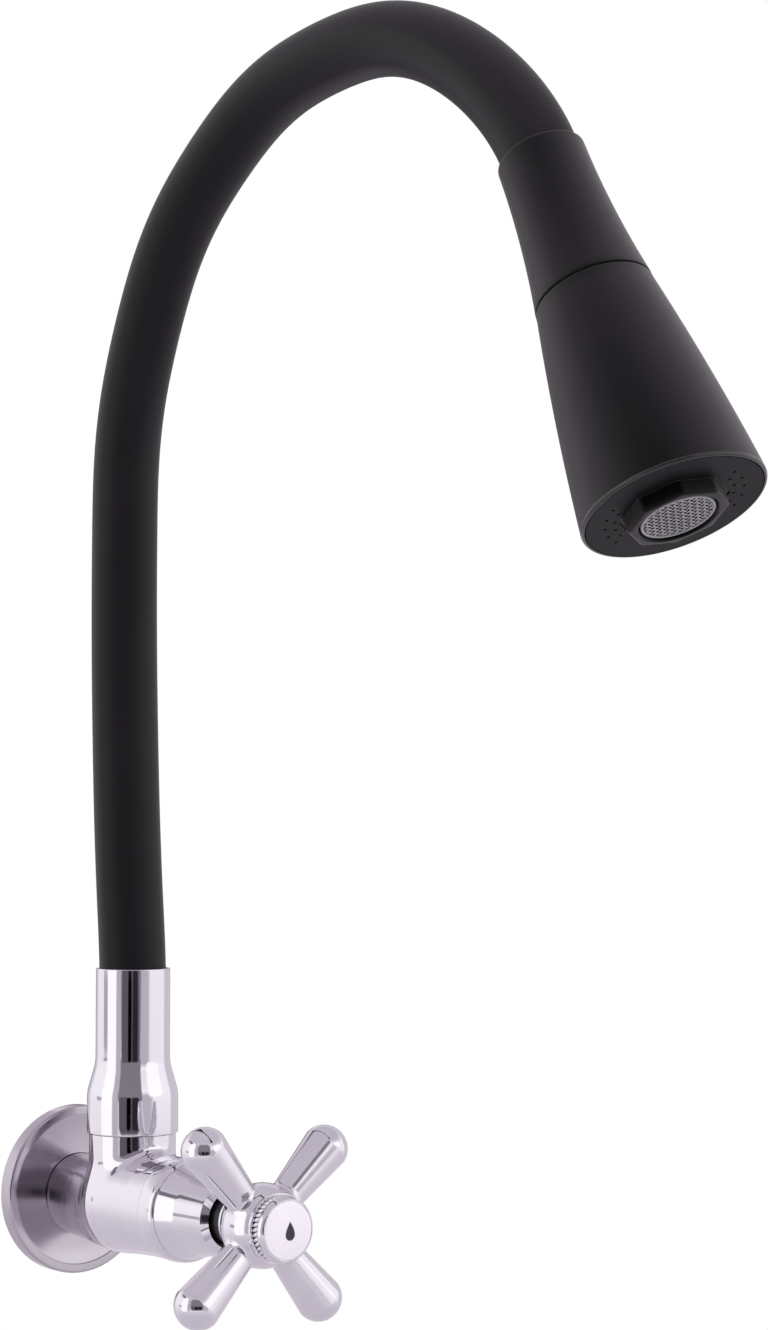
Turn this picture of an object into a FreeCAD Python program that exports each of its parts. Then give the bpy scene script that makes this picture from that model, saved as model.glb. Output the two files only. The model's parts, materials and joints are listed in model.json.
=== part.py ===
import FreeCAD, Part
import math
import os

# Wall-mounted cold tap with a flexible hose spout and a two-jet spray head.
# Sizes are millimetres. The origin is the centre of the flange's back, on the wall,
# on the valve axis. +Z is up and the tap stands out from the wall along -Y.
# A heading is an angle from straight up towards -Y, so 90 points out of the wall.

# Clearances
RUN = 0.05            # radial gap of a shaft or spigot that turns in its bore
SEAT = 0.05           # gap of a piece pushed or screwed into its seat
FACE = 0.05           # gap between two faces that slide on each other
SOFT = 0.2            # gap round the layers of the hose
SWIVEL_GAP = 0.3      # gap between the ball and the cup at each bend of the hose

# Wall flange and inlet
FLANGE_R = 28.0
FLANGE_DEPTH = 5.6
FLANGE_WALL = 1.6
FLANGE_DISH = 1.7
RIM_WIDTH = 3.2
RIM_ROUND = 0.7
GROOVE = 0.35
THREAD_R = 10.48      # outside of a G1/2 male thread
THREAD_LENGTH = 14.0
THREAD_CHAMFER = 1.2
INLET_BORE_R = 6.5
NIPPLE_COLLAR_R = 12.0
NIPPLE_COLLAR = 1.6
NIPPLE_TAIL_R = 9.4
NIPPLE_TAIL = 12.0
SEAL_THICKNESS = 1.4
SEAL_WIDTH = 1.8

# Tap body
SHANK_R = 12.8
SHANK_START = 2.0
SHANK_DROP = 0.9      # how far the shank sits below the valve axis
SHANK_STRAIGHT = 4.4
BELLY = (             # station, drop and radius of the shank's belly
    (7.6, 1.75, 13.2),
    (16.0, 2.45, 13.5),
    (25.6, 3.3, 13.8),
    (32.0, 3.5, 14.0),
    (44.0, 1.8, 13.8),
)
SPOUT_OFFSET = 36.7   # wall to the spout's upright axis
BALL_R = 17.1
NECK_R = 14.25
NECK_TOP = 21.3
NECK_FILLET = 2.4
BARREL_WAIST_R = 16.15
BARREL_WAIST = 56.0
RIM_START = 64.0      # the turned rim at the front of the barrel
RIM_STEP = 0.15
RIM_CROWN = (16.35, 66.2)
RIM_FRONT_R = 15.35
BODY_FRONT = 71.7
HEX_SEAT = 50.4       # face in the body that the cartridge's washer lies on
SKIRT_BORE_R = 13.7
CHAMBER_R = 9.3
SEAT_STATION = 29.6   # face in the body that the valve cartridge is pressed against
PORT_R = 5.0

# Valve cartridge, stations along the valve axis
CAGE_R = 9.0
CAGE_BORE_R = 8.0
CAGE_THREAD_R = 10.4
CAGE_THREAD = 7.0
WINDOW_WIDTH = 9.0
WINDOW_LENGTH = 4.6
SEAT_SEAL = 1.4
SEAT_SEAL_BORE_R = 5.2
DISC_R = 7.85
DISC_THICKNESS = 2.4
DISC_PORT_R = 2.6
DISC_PORT_RADIUS = 4.4
HEX_ACROSS = 22.0
HEX_LENGTH = 6.4
WASHER_THICKNESS = 0.8
GLAND_R = 8.5
GLAND_END = 78.0
SPINDLE_R = 4.0
SPINDLE_FLANGE = 3.0
SPINDLE_END = 105.6
DRIVE_WIDTH = 3.2
DRIVE_INSET = 2.2
ORING_GROOVE_R = 3.1
ORING_R = 0.45
ORING_STATIONS = (60.0, 66.0)
CIRCLIP_R = 6.0
CIRCLIP_GROOVE_R = 3.3
CIRCLIP_THICKNESS = 1.0
CIRCLIP_GAP_ANGLE = 50.0

# Bonnet sleeve over the cartridge
SLEEVE_R = 15.25
SLEEVE_CROWN = (14.25, 75.4)
SLEEVE_WAIST = (13.1, 79.7)
SLEEVE_NECK = (12.3, 85.0)
SLEEVE_TAIL = 6.0     # how far the sleeve reaches into the barrel
SLEEVE_TAIL_WALL = 2.0
SLEEVE_MOUTH_R = 11.4
SLEEVE_MOUTH = 91.5
SLEEVE_BEVEL = 1.5
RECESS_R = 9.0
RECESS_DEPTH = 6.0
WEB_THICKNESS = 8.0
BONNET_RING_R = 7.9
BONNET_RING_BORE_R = 4.6
BONNET_RING_END = 97.2

# Cross handle
HANDLE_STATION = 108.8
HUB_R = 13.0
SKIRT_R = 8.8
SKIRT_START = 97.9
HUB_FRONT_R = 10.8
HUB_FACE = 117.2
ARM_COUNT = 4
ARM_ANGLE = 42.0
ARM_TIP_R = 7.4
ARM_TIP_RADIUS = 32.2
ARM_ROOT_R = 5.1
ARM_ROOT_RADIUS = 9.0
HANDLE_BORE_R = 5.4
HANDLE_WEB = 2.0
CAP_SOCKET_R = 7.5
BOSS_R = 9.2
BOSS_LENGTH = 3.6
SCREW_HEAD_R = 4.2
SCREW_HEAD = 3.0
SCREW_R = 2.4
SCREW_REACH = 12.0
BEAD_RING_R = 10.4
BEAD_RING_WIDTH = 4.2
BEAD_RING_ROUND = 0.7
CAP_R = 10.2
CAP_RIM = 0.1
CAP_TAIL = 5.0
INDEX_R = 8.85
INDEX_FACE = 122.0
DISC_INSET = 0.6
INDEX_DOME = 0.9

# Spout socket and its swivel
COLLAR_R = 15.0
COLLAR_BASE = 21.9
COLLAR_TOP = 34.0
SOCKET_R = 12.25
TAPER_TOP = 45.4
TAPER_MID = (13.8, 39.2)
SOCKET_TOP = 75.6
SPIGOT_R = 9.0
SPIGOT_FOOT = 10.5
SPIGOT_BORE_R = 5.6
SPIGOT_THREAD_R = 10.6
SPIGOT_SHOULDER = 33.0
BARB_R = 3.9
BARB_BORE_R = 2.8
BARB_LENGTH = 12.0
SWIVEL_ORING_STATIONS = (SPIGOT_FOOT + 2.15, SPIGOT_FOOT + 8.95)
SWIVEL_ORING_R = 1.0
SWIVEL_GROOVE_DEPTH = 2.0
GRUB_STATION = sum(SWIVEL_ORING_STATIONS) / 2
GRUB_R = 1.5
GRUB_GROOVE = 1.2
GLIDE_THICKNESS = 0.5
GLIDE_WIDTH = 3.0
FERRULE_R = 9.5
FERRULE_LENGTH = 14.0

# Hose, from the centre out: water tube, wound core and silicone sleeve
HOSE_R = 11.0
SLEEVE_WALL = 2.4
CORE_WALL = 2.6
TUBE_WALL = 1.5
SLEEVE_FOOT = 52.0
FIRST_RUN = 21.0
BALL_END_R = 10.7
CUP_RIM = 4.2         # how far the cup's rim stops short of the bend's centre
SHOULDER = 1.6        # how far past the centre the ball side reaches full size
CUP_RUN = 14.0        # straight length that holds the cup
BLUNT = 6.0           # depth at which the ball end of the sleeve is cut square

# Each link's curved stretches: length along the hose and the turn in degrees
LINK_BENDS = (
    ((9.0, -6.3), (59.8, 4.1)),
    ((63.7, 3.0),),
    ((47.7, 23.8),),
    ((48.3, 31.8),),
    ((45.3, 30.7),),
    ((39.2, 28.2), (53.4, 25.9), (14.4, 13.0)),
)

# Spray head, stations along its own axis from the mouth that the hose enters
MOUTH_R = 12.4
UPPER_MID_R = 13.55
SEAM_R = 16.35
SEAM = 46.7
SEAM_GAP = 0.6
HEAD_WALL = 2.0
MOUTH_BEVEL = 0.7
HOSE_SEAT = 14.0
HEAD_WEB_END = 30.0
CONNECTOR_HEX = 20.0
CONNECTOR_FLANGE = 5.0
CONNECTOR_SPIGOT_R = 7.0
CONNECTOR_SPIGOT = 11.2
CLIP_R = SEAM_R - HEAD_WALL - 2 * SOFT
DIVERTER_R = CLIP_R - 1.1
DIVERTER_START = SEAM - 3.5
DIVERTER_END = 58.0
DIVERTER_CHAMBER_R = 6.0
JET_PORT_R = 1.9
JET_PORT_RADIUS = 4.2
CLIP_THICKNESS = 1.2
HEAD_ORING_STATION = 55.0
HEAD_ORING_R = 0.8
DETENT_R = 1.2
DETENT_WALL = 0.55     # diverter's wall between the o-ring's groove and the detent's bore
DETENT_RADIUS = DIVERTER_R - 2 * HEAD_ORING_R - DETENT_R - 2 * SEAT - DETENT_WALL
DETENT_DEPTH = 6.0
LOWER_MID_R = 21.25
FACE_R = 25.1
FACE_STATION = 113.0
FACE_ROUND = 1.1
FLOOR_STATION = 63.0
FLOOR_THICKNESS = 3.0
CENTRE_TUBE_R = 8.0
CENTRE_BORE_R = 6.2
CENTRE_TUBE_BACK = 8.3      # how far behind the face the centre tube ends
CENTRE_TUBE_END = FACE_STATION - CENTRE_TUBE_BACK
SPRAY_FEED_COUNT = 6
SPRAY_FEED_R = 1.4
SPRAY_FEED_RADIUS = 11.0
PLATE_R = 23.85
PLATE_THICKNESS = 1.8
SPRAY_CLUSTERS = (43.5, -136.5)       # where each group of spray holes lies
SPRAY_HOLE_R = 0.45
SPRAY_ROWS = ((18.6, 5), (16.0, 4))   # radius of each row and its number of holes
SPRAY_STEP = 15.25                    # angle from hole to hole along a row
NOZZLE_ACROSS = 25.6
NOZZLE_SIDES = 8
NOZZLE_TURN = 16.5
NOZZLE_PROUD = 3.5
NOZZLE_DEPTH = 3.9
NOZZLE_BACK = FACE_STATION - NOZZLE_DEPTH
NOZZLE_FLOOR = 1.6
NOZZLE_GROOVE = 1.0                   # gap between the boss and the plate round it
NOZZLE_FLANGE_R = 16.5
NOZZLE_GRIP = 4.0
NOZZLE_SKIRT_R = 10.2
NOZZLE_BORE_R = 10.8
AERATOR_R = 10.1
AERATOR_WALL = 1.4
AERATOR_SUNK = 0.5
SCREEN_THICKNESS = 0.5
SCREEN_SUNK = 0.2
SCREEN_PITCH = 1.36
SCREEN_BAR = 0.5

X_AXIS = FreeCAD.Vector(1, 0, 0)
Z_AXIS = FreeCAD.Vector(0, 0, 1)
ORIGIN = FreeCAD.Vector(0, 0, 0)
ALONG_VALVE = 90.0


# Shared shape builders

def flat(point):
    """A (radius, station) pair as a point in the XZ plane."""
    return FreeCAD.Vector(point[0], 0, point[1])


def outline(*steps):
    """A closed wire of straight steps; a step that is a pair of points is an arc."""
    edges = []
    here = steps[0]
    for step in steps[1:] + (steps[0],):
        if isinstance(step[0], tuple):
            edges.append(Part.Arc(flat(here), flat(step[0]), flat(step[1])).toShape())
            here = step[1]
        elif step != here:
            edges.append(Part.makeLine(flat(here), flat(step)))
            here = step
    return Part.Wire(edges)


def lathe(*steps):
    """A solid turned about Z from an outline of (radius, station) points."""
    return Part.Face(outline(*steps)).revolve(ORIGIN, Z_AXIS, 360)


def ring(outer, inner, start, end):
    """A plain ring between two stations on Z."""
    return lathe((inner, start), (outer, start), (outer, end), (inner, end))


def rod(radius, start, end, x=0.0, y=0.0):
    """A plain cylinder between two stations, beside Z where x or y is given."""
    return Part.makeCylinder(radius, end - start, FreeCAD.Vector(x, y, start))


def torus(radius, thickness, station):
    """A round sealing ring about Z."""
    return Part.makeTorus(radius, thickness, FreeCAD.Vector(0, 0, station))


def prism(across, sides, start, end):
    """A regular prism about Z, with its width across flats."""
    radius = across / 2 / math.cos(math.pi / sides)
    corners = [
        FreeCAD.Vector(radius * math.cos(a), radius * math.sin(a), start)
        for a in (2 * math.pi * (i + 0.5) / sides for i in range(sides))
    ]
    face = Part.Face(Part.makePolygon(corners + [corners[0]]))
    return face.extrude(FreeCAD.Vector(0, 0, end - start))


def turned(shape, angle):
    """A copy of a shape turned about Z."""
    copy = shape.copy()
    copy.rotate(ORIGIN, Z_AXIS, angle)
    return copy


def joined(shapes):
    """One solid from shapes that touch or overlap."""
    return shapes[0].fuse(shapes[1:]).removeSplitter()


def placed(shape, heading, y=0.0, z=0.0):
    """A copy of a shape built on Z, laid along a heading from a point of the YZ plane."""
    copy = shape.copy()
    copy.rotate(ORIGIN, X_AXIS, heading)
    copy.translate(FreeCAD.Vector(0, y, z))
    return copy


def on_valve(shape):
    """A shape whose stations run out from the wall along the valve axis."""
    return placed(shape, ALONG_VALVE)


def on_spout(shape):
    """A shape whose stations are heights on the spout's upright axis."""
    return placed(shape, 0.0, -SPOUT_OFFSET)


# Wall flange and inlet

def wall_flange():
    front = FLANGE_DEPTH
    hole = SHANK_R + SOFT - SHANK_DROP
    land = FLANGE_R - RIM_WIDTH
    centre = front - FLANGE_DISH
    mid = ((land + hole) / 2, front - FLANGE_DISH * 0.8)
    inner = FLANGE_R - FLANGE_WALL
    back_mid = (mid[0], mid[1] - FLANGE_WALL)
    shell = lathe(
        (FLANGE_R, 0),
        (FLANGE_R, front - RIM_ROUND),
        ((FLANGE_R - 0.3 * RIM_ROUND, front - 0.3 * RIM_ROUND), (FLANGE_R - RIM_ROUND, front)),
        (land + GROOVE, front),
        (land + GROOVE, front - GROOVE),
        (land, front - GROOVE),
        (mid, (hole, centre)),
        (hole, centre - FLANGE_WALL),
        (back_mid, (land, front - GROOVE - FLANGE_WALL)),
        (inner, front - GROOVE - FLANGE_WALL),
        (inner, 0),
    )
    return on_valve(shell.cut(rod(SHANK_R + SOFT, 0, front, 0, -SHANK_DROP)))


def flange_seal():
    top = FLANGE_DEPTH - FLANGE_DISH - FLANGE_WALL - SEAT
    bore = SHANK_R + SEAT
    start = max(SHANK_START, top - SEAL_THICKNESS)
    seal = ring(bore + SEAL_WIDTH, bore, start + SEAT, top)
    seal.translate(FreeCAD.Vector(0, -SHANK_DROP, 0))
    return on_valve(seal)


def inlet_nipple():
    collar = SHANK_START - NIPPLE_COLLAR
    return on_valve(lathe(
        (INLET_BORE_R, -THREAD_LENGTH),
        (THREAD_R - THREAD_CHAMFER, -THREAD_LENGTH),
        (THREAD_R, THREAD_CHAMFER - THREAD_LENGTH),
        (THREAD_R, collar),
        (NIPPLE_COLLAR_R, collar),
        (NIPPLE_COLLAR_R, SHANK_START),
        (NIPPLE_TAIL_R, SHANK_START),
        (NIPPLE_TAIL_R, SHANK_START + NIPPLE_TAIL),
        (INLET_BORE_R, SHANK_START + NIPPLE_TAIL),
    ))


# Tap body

def shank():
    """The inlet shank, whose belly sinks towards the ball."""
    drop = FreeCAD.Vector(0, -SHANK_DROP, SHANK_STRAIGHT)
    straight = rod(SHANK_R, SHANK_START, SHANK_STRAIGHT, 0, -SHANK_DROP)
    rings = [Part.Wire(Part.makeCircle(SHANK_R, drop))]
    for station, sink, radius in BELLY:
        rings.append(Part.Wire(Part.makeCircle(radius, FreeCAD.Vector(0, -sink, station))))
    return on_valve(joined([straight, Part.makeLoft(rings, True, False)]))


def barrel():
    """The round barrel from the ball to the bonnet, with the turned rim at its front."""
    step_r = BARREL_WAIST_R + RIM_STEP
    return on_valve(lathe(
        (0, SPOUT_OFFSET),
        (BALL_R, SPOUT_OFFSET),
        (BARREL_WAIST_R, BARREL_WAIST),
        (BARREL_WAIST_R, RIM_START),
        (step_r, RIM_START + RIM_STEP),
        (RIM_CROWN, (RIM_FRONT_R, BODY_FRONT)),
        (0, BODY_FRONT),
    ))


def neck_with_fillet():
    """The upright neck, faired into the barrel in front of it."""
    back = 2 * SPOUT_OFFSET - BARREL_WAIST
    cross = on_valve(Part.makeCone(
        2 * BALL_R - BARREL_WAIST_R, BARREL_WAIST_R, BARREL_WAIST - back, FreeCAD.Vector(0, 0, back)
    ))
    cross = cross.fuse(on_spout(rod(NECK_R, 0, NECK_TOP))).removeSplitter()
    cross = cross.makeFillet(NECK_FILLET, [e for e in cross.Edges if is_neck_edge(e)])
    side = 4 * BALL_R
    front = Part.makeBox(side, BARREL_WAIST - SPOUT_OFFSET, side)
    front.translate(FreeCAD.Vector(-side / 2, -BARREL_WAIST, -side / 2))
    return cross.common(front)


def is_neck_edge(edge):
    """True for the curved line where the neck meets the top of the barrel."""
    box = edge.BoundBox
    return box.ZMin > 1.0 and box.ZMax < NECK_TOP - 1.0


def body_casting():
    ball = Part.makeSphere(BALL_R, FreeCAD.Vector(0, -SPOUT_OFFSET, 0))
    ball = ball.common(on_valve(rod(2 * BALL_R, 0, SPOUT_OFFSET)))
    neck = on_spout(rod(NECK_R, 0, NECK_TOP))
    return ball.fuse([shank(), neck, barrel(), neck_with_fillet()])


def tap_body():
    tail_end = SHANK_START + NIPPLE_TAIL + SEAT
    water_way = [
        on_valve(rod(NIPPLE_TAIL_R + SEAT, SHANK_START, tail_end)),
        on_valve(rod(INLET_BORE_R, tail_end, SEAT_STATION)),
        on_valve(rod(CHAMBER_R, SEAT_STATION, HEX_SEAT - CAGE_THREAD)),
        on_valve(rod(CAGE_THREAD_R + SEAT, HEX_SEAT - CAGE_THREAD, HEX_SEAT)),
        on_valve(rod(SKIRT_BORE_R, HEX_SEAT, BODY_FRONT)),
        on_spout(rod(PORT_R, 0, SPIGOT_FOOT)),
        on_spout(rod(SPIGOT_R + RUN, SPIGOT_FOOT - SWIVEL_GAP, NECK_TOP)),
        grub_hole(),
    ]
    return body_casting().cut(water_way).removeSplitter()


def grub_hole():
    """The threaded hole in the back of the neck."""
    start = SPIGOT_R - GRUB_GROOVE
    hole = Part.makeCylinder(GRUB_R + SEAT, NECK_R - start, ORIGIN, FreeCAD.Vector(0, 1, 0))
    hole.translate(FreeCAD.Vector(0, start - SPOUT_OFFSET, GRUB_STATION))
    return hole


def swivel_grub_screw():
    tip = SPIGOT_R - GRUB_GROOVE + SWIVEL_GAP
    length = NECK_R - SWIVEL_GAP - tip
    screw = Part.makeCylinder(GRUB_R, length, ORIGIN, FreeCAD.Vector(0, 1, 0))
    screw.translate(FreeCAD.Vector(0, tip - SPOUT_OFFSET, GRUB_STATION))
    socket = Part.makeBox(GRUB_R, length / 3, GRUB_R)
    socket_start = tip + length * 2 / 3 - SPOUT_OFFSET
    socket.translate(FreeCAD.Vector(-GRUB_R / 2, socket_start, GRUB_STATION - GRUB_R / 2))
    return screw.cut(socket)


# Valve cartridge

CAGE_START = SEAT_STATION + SEAT_SEAL / 2
DISC_START = SEAT_STATION + SEAT_SEAL
MOVING_START = DISC_START + DISC_THICKNESS
DRIVE_START = MOVING_START + DISC_THICKNESS
WINDOW_START = DRIVE_START + 0.4
FLANGE_START = WINDOW_START + WINDOW_LENGTH + 0.6
CAGE_ROOF = FLANGE_START + SPINDLE_FLANGE + FACE
HEX_START = HEX_SEAT + WASHER_THICKNESS


def cartridge_body():
    shell = lathe(
        (CAGE_BORE_R, CAGE_START),
        (CAGE_R, CAGE_START),
        (CAGE_R, HEX_SEAT - CAGE_THREAD),
        (CAGE_THREAD_R, HEX_SEAT - CAGE_THREAD),
        (CAGE_THREAD_R, HEX_START),
        (GLAND_R, HEX_START),
        (GLAND_R, GLAND_END),
        (SPINDLE_R + RUN, GLAND_END),
        (SPINDLE_R + RUN, CAGE_ROOF),
        (CAGE_BORE_R, CAGE_ROOF),
    )
    hexagon = prism(HEX_ACROSS, 6, HEX_START, HEX_START + HEX_LENGTH)
    hexagon = hexagon.cut(rod(GLAND_R, HEX_START, HEX_START + HEX_LENGTH))
    window = Part.makeBox(4 * CAGE_R, WINDOW_WIDTH, WINDOW_LENGTH)
    window.translate(FreeCAD.Vector(-2 * CAGE_R, -WINDOW_WIDTH / 2, WINDOW_START))
    body = joined([shell, hexagon]).cut([window, turned(window, 90)])
    return on_valve(body)


def cartridge_washer():
    return on_valve(ring(SKIRT_BORE_R - SOFT, CAGE_THREAD_R + SEAT, HEX_SEAT, HEX_START))


def seat_seal():
    outer = CAGE_BORE_R - SEAT
    return on_valve(ring(outer, SEAT_SEAL_BORE_R, SEAT_STATION, DISC_START))


def ceramic_disc(start, thickness):
    """A valve disc with two round ports."""
    disc = rod(DISC_R, start, start + thickness)
    sides = (-DISC_PORT_RADIUS, DISC_PORT_RADIUS)
    return disc.cut([rod(DISC_PORT_R, start, start + thickness, x) for x in sides])


def fixed_disc():
    return on_valve(ceramic_disc(DISC_START, DISC_THICKNESS - FACE))


def drive_legs(gap, start, end):
    """The two legs of the spindle that turn the moving disc, or their slots."""
    width = DRIVE_WIDTH + 2 * gap
    bar = Part.makeBox(2 * DISC_R, width, end - start)
    bar.translate(FreeCAD.Vector(-DISC_R, -width / 2, start))
    bar = turned(bar, 90)
    inner = DISC_R - DRIVE_INSET - gap
    return bar.common(ring(DISC_R, inner, start, end))


def moving_disc():
    disc = ceramic_disc(MOVING_START, DISC_THICKNESS)
    disc = turned(disc, 90)
    slots = drive_legs(SEAT, MOVING_START + DISC_THICKNESS / 2, DRIVE_START)
    return on_valve(disc.cut(slots))


def groove_cut(radius, station, width):
    """A ring that cuts a seal or clip groove into the spindle."""
    return ring(SPINDLE_R + 1.0, radius, station - width / 2, station + width / 2)


def spindle():
    flange_r = CAGE_BORE_R - SOFT
    flange = rod(flange_r, FLANGE_START, FLANGE_START + SPINDLE_FLANGE)
    shaft = rod(SPINDLE_R, FLANGE_START, SPINDLE_END)
    legs = drive_legs(0, MOVING_START + DISC_THICKNESS / 2 + SEAT, FLANGE_START)
    body = joined([flange, shaft, legs])
    clip_station = GLAND_END + FACE + CIRCLIP_THICKNESS / 2
    cuts = [groove_cut(ORING_GROOVE_R, s, 2.4 * ORING_R) for s in ORING_STATIONS]
    cuts.append(groove_cut(CIRCLIP_GROOVE_R, clip_station, CIRCLIP_THICKNESS + 2 * SEAT))
    cuts.append(rod(SCREW_R + SEAT, SPINDLE_END - SCREW_REACH, SPINDLE_END))
    return on_valve(body.cut(cuts))


def spindle_o_rings():
    centre = SPINDLE_R - ORING_R
    return on_valve(Part.makeCompound([torus(centre, ORING_R, s) for s in ORING_STATIONS]))


def spindle_circlip():
    start = GLAND_END + FACE
    clip = ring(CIRCLIP_R, CIRCLIP_GROOVE_R + SEAT, start, start + CIRCLIP_THICKNESS)
    return on_valve(clip.cut(mouth_wedge(CIRCLIP_R, start, CIRCLIP_THICKNESS)))


def mouth_wedge(radius, start, thickness):
    """The sector that is missing from an open clip."""
    side = 2 * radius
    half = math.radians(CIRCLIP_GAP_ANGLE / 2)
    corners = [
        FreeCAD.Vector(0, 0, start),
        FreeCAD.Vector(side * math.cos(half), -side * math.sin(half), start),
        FreeCAD.Vector(side * math.cos(half), side * math.sin(half), start),
    ]
    face = Part.Face(Part.makePolygon(corners + [corners[0]]))
    return face.extrude(FreeCAD.Vector(0, 0, thickness))


# Bonnet sleeve

def bonnet_sleeve():
    mouth_face = SLEEVE_MOUTH + SLEEVE_BEVEL
    web_start = GLAND_END - WEB_THICKNESS
    start = BODY_FRONT + SEAT
    tail_r = SKIRT_BORE_R - SEAT
    return on_valve(lathe(
        (tail_r - SLEEVE_TAIL_WALL, BODY_FRONT - SLEEVE_TAIL),
        (tail_r, BODY_FRONT - SLEEVE_TAIL),
        (tail_r, start),
        (SLEEVE_R, start),
        (SLEEVE_CROWN, SLEEVE_WAIST),
        (SLEEVE_NECK, (SLEEVE_MOUTH_R, SLEEVE_MOUTH)),
        (RECESS_R + FACE, mouth_face),
        (RECESS_R, mouth_face - FACE),
        (RECESS_R, GLAND_END + CIRCLIP_THICKNESS),
        (GLAND_R + SEAT, GLAND_END + CIRCLIP_THICKNESS),
        (GLAND_R + SEAT, web_start),
        (tail_r - SLEEVE_TAIL_WALL, web_start),
    ))


def bonnet_ring():
    """The black ring that fills the mouth of the sleeve round the spindle."""
    start = SLEEVE_MOUTH + SLEEVE_BEVEL - RECESS_DEPTH
    return on_valve(lathe(
        (BONNET_RING_BORE_R, start),
        (RECESS_R - SEAT, start),
        (RECESS_R - SEAT, start + RECESS_DEPTH / 2),
        (BONNET_RING_R, start + RECESS_DEPTH / 2),
        (BONNET_RING_R, BONNET_RING_END),
        (BONNET_RING_BORE_R, BONNET_RING_END),
    ))


# Cross handle

def handle_arm():
    """A teardrop arm along X: a cone that runs tangent into a ball at its tip."""
    reach = ARM_TIP_RADIUS - ARM_ROOT_RADIUS
    slope = math.asin((ARM_TIP_R - ARM_ROOT_R * math.cos(math.radians(5))) / reach)
    touch = (ARM_TIP_R * math.cos(slope), ARM_TIP_RADIUS - ARM_TIP_R * math.sin(slope))
    tip = (0, ARM_TIP_RADIUS + ARM_TIP_R)
    bow = math.radians(45) - slope / 2
    mid = (ARM_TIP_R * math.cos(bow), ARM_TIP_RADIUS + ARM_TIP_R * math.sin(bow))
    arm = lathe((0, 0), (ARM_ROOT_R, 0), (ARM_ROOT_R, ARM_ROOT_RADIUS), touch, (mid, tip))
    arm.rotate(ORIGIN, FreeCAD.Vector(0, 1, 0), 90)
    arm.translate(FreeCAD.Vector(0, 0, HANDLE_STATION))
    return arm


def hub():
    """The round hub, with a flat-faced collar in front and a skirt behind."""
    ball = Part.makeSphere(HUB_R, FreeCAD.Vector(0, 0, HANDLE_STATION))
    keep = rod(2 * HUB_R, SKIRT_START, HUB_FACE)
    skirt = rod(SKIRT_R, SKIRT_START, HANDLE_STATION)
    front = rod(HUB_FRONT_R, HANDLE_STATION, HUB_FACE)
    boss = rod(BOSS_R, HANDLE_STATION, HUB_FACE + BOSS_LENGTH)
    return joined([ball.common(keep), skirt, front, boss])


def cross_handle():
    step = 360.0 / ARM_COUNT
    arms = [turned(handle_arm(), -ARM_ANGLE + i * step) for i in range(ARM_COUNT)]
    body = joined([hub()] + arms)
    insert_end = SPINDLE_END + SEAT
    web_end = insert_end + HANDLE_WEB
    cuts = [
        rod(HANDLE_BORE_R + SEAT, SKIRT_START, insert_end),
        rod(SCREW_R + SOFT, insert_end, web_end),
        rod(CAP_SOCKET_R, web_end, HUB_FACE + BOSS_LENGTH),
    ]
    return on_valve(body.cut(cuts).removeSplitter())


def spline_insert():
    return on_valve(ring(HANDLE_BORE_R, SPINDLE_R + SEAT, SKIRT_START, SPINDLE_END))


def handle_screw():
    head_start = SPINDLE_END + SEAT + HANDLE_WEB
    head = rod(SCREW_HEAD_R, head_start, head_start + SCREW_HEAD)
    shaft = rod(SCREW_R, SPINDLE_END - SCREW_REACH + 1.0, head_start)
    slot = Part.makeBox(2 * SCREW_HEAD_R, 1.0, SCREW_HEAD / 2)
    slot.translate(FreeCAD.Vector(-SCREW_HEAD_R, -0.5, head_start + SCREW_HEAD / 2))
    return on_valve(joined([head, shaft]).cut(slot))


def bead_ring():
    """The rope-patterned ring, held between the hub and the cap's rim."""
    start = HUB_FACE + SEAT
    end = HUB_FACE + BEAD_RING_WIDTH
    bore = BOSS_R + SEAT
    edge = BEAD_RING_R - BEAD_RING_ROUND
    crown = (BEAD_RING_R, (start + end) / 2)
    return on_valve(lathe((bore, start), (edge, start), (crown, (edge, end)), (bore, end)))


def index_cap():
    """The cap, whose bevelled rim covers the rope ring and frames the index disc."""
    start = HUB_FACE + BOSS_LENGTH
    rim = HUB_FACE + BEAD_RING_WIDTH + SEAT
    tail = CAP_SOCKET_R - SEAT
    inset = INDEX_R + SEAT
    return on_valve(lathe(
        (0, start - CAP_TAIL),
        (tail, start - CAP_TAIL),
        (tail, start),
        (BOSS_R, start),
        (BOSS_R, rim),
        (CAP_R, rim),
        (CAP_R, rim + CAP_RIM),
        (inset + CAP_RIM, INDEX_FACE),
        (inset, INDEX_FACE),
        (inset, INDEX_FACE - DISC_INSET),
        (0, INDEX_FACE - DISC_INSET),
    ))


def index_disc():
    """The slightly domed disc that marks the tap's water."""
    base = INDEX_FACE - DISC_INSET + SEAT
    face = base + DISC_INSET
    radius = (INDEX_R ** 2 + INDEX_DOME ** 2) / (2 * INDEX_DOME)
    dome = Part.makeSphere(radius, FreeCAD.Vector(0, 0, face + INDEX_DOME - radius))
    return on_valve(rod(INDEX_R, base, face + 2 * INDEX_DOME).common(dome))


# Spout socket and swivel

def spout_socket():
    bore = SPIGOT_THREAD_R + SEAT
    core_bore = FERRULE_R + SEAT
    return on_spout(lathe(
        (bore, COLLAR_BASE),
        (COLLAR_R - 0.4, COLLAR_BASE),
        (COLLAR_R, COLLAR_BASE + 0.4),
        (COLLAR_R, COLLAR_TOP),
        (TAPER_MID, (SOCKET_R, TAPER_TOP)),
        (SOCKET_R, SOCKET_TOP - 0.3),
        (SOCKET_R - 0.3, SOCKET_TOP),
        (HOSE_R + SWIVEL_GAP, SOCKET_TOP),
        (HOSE_R + SWIVEL_GAP, SLEEVE_FOOT - SOFT),
        (core_bore, SLEEVE_FOOT - SOFT),
        (core_bore, SPIGOT_SHOULDER),
        (bore, SPIGOT_SHOULDER),
    ))


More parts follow.
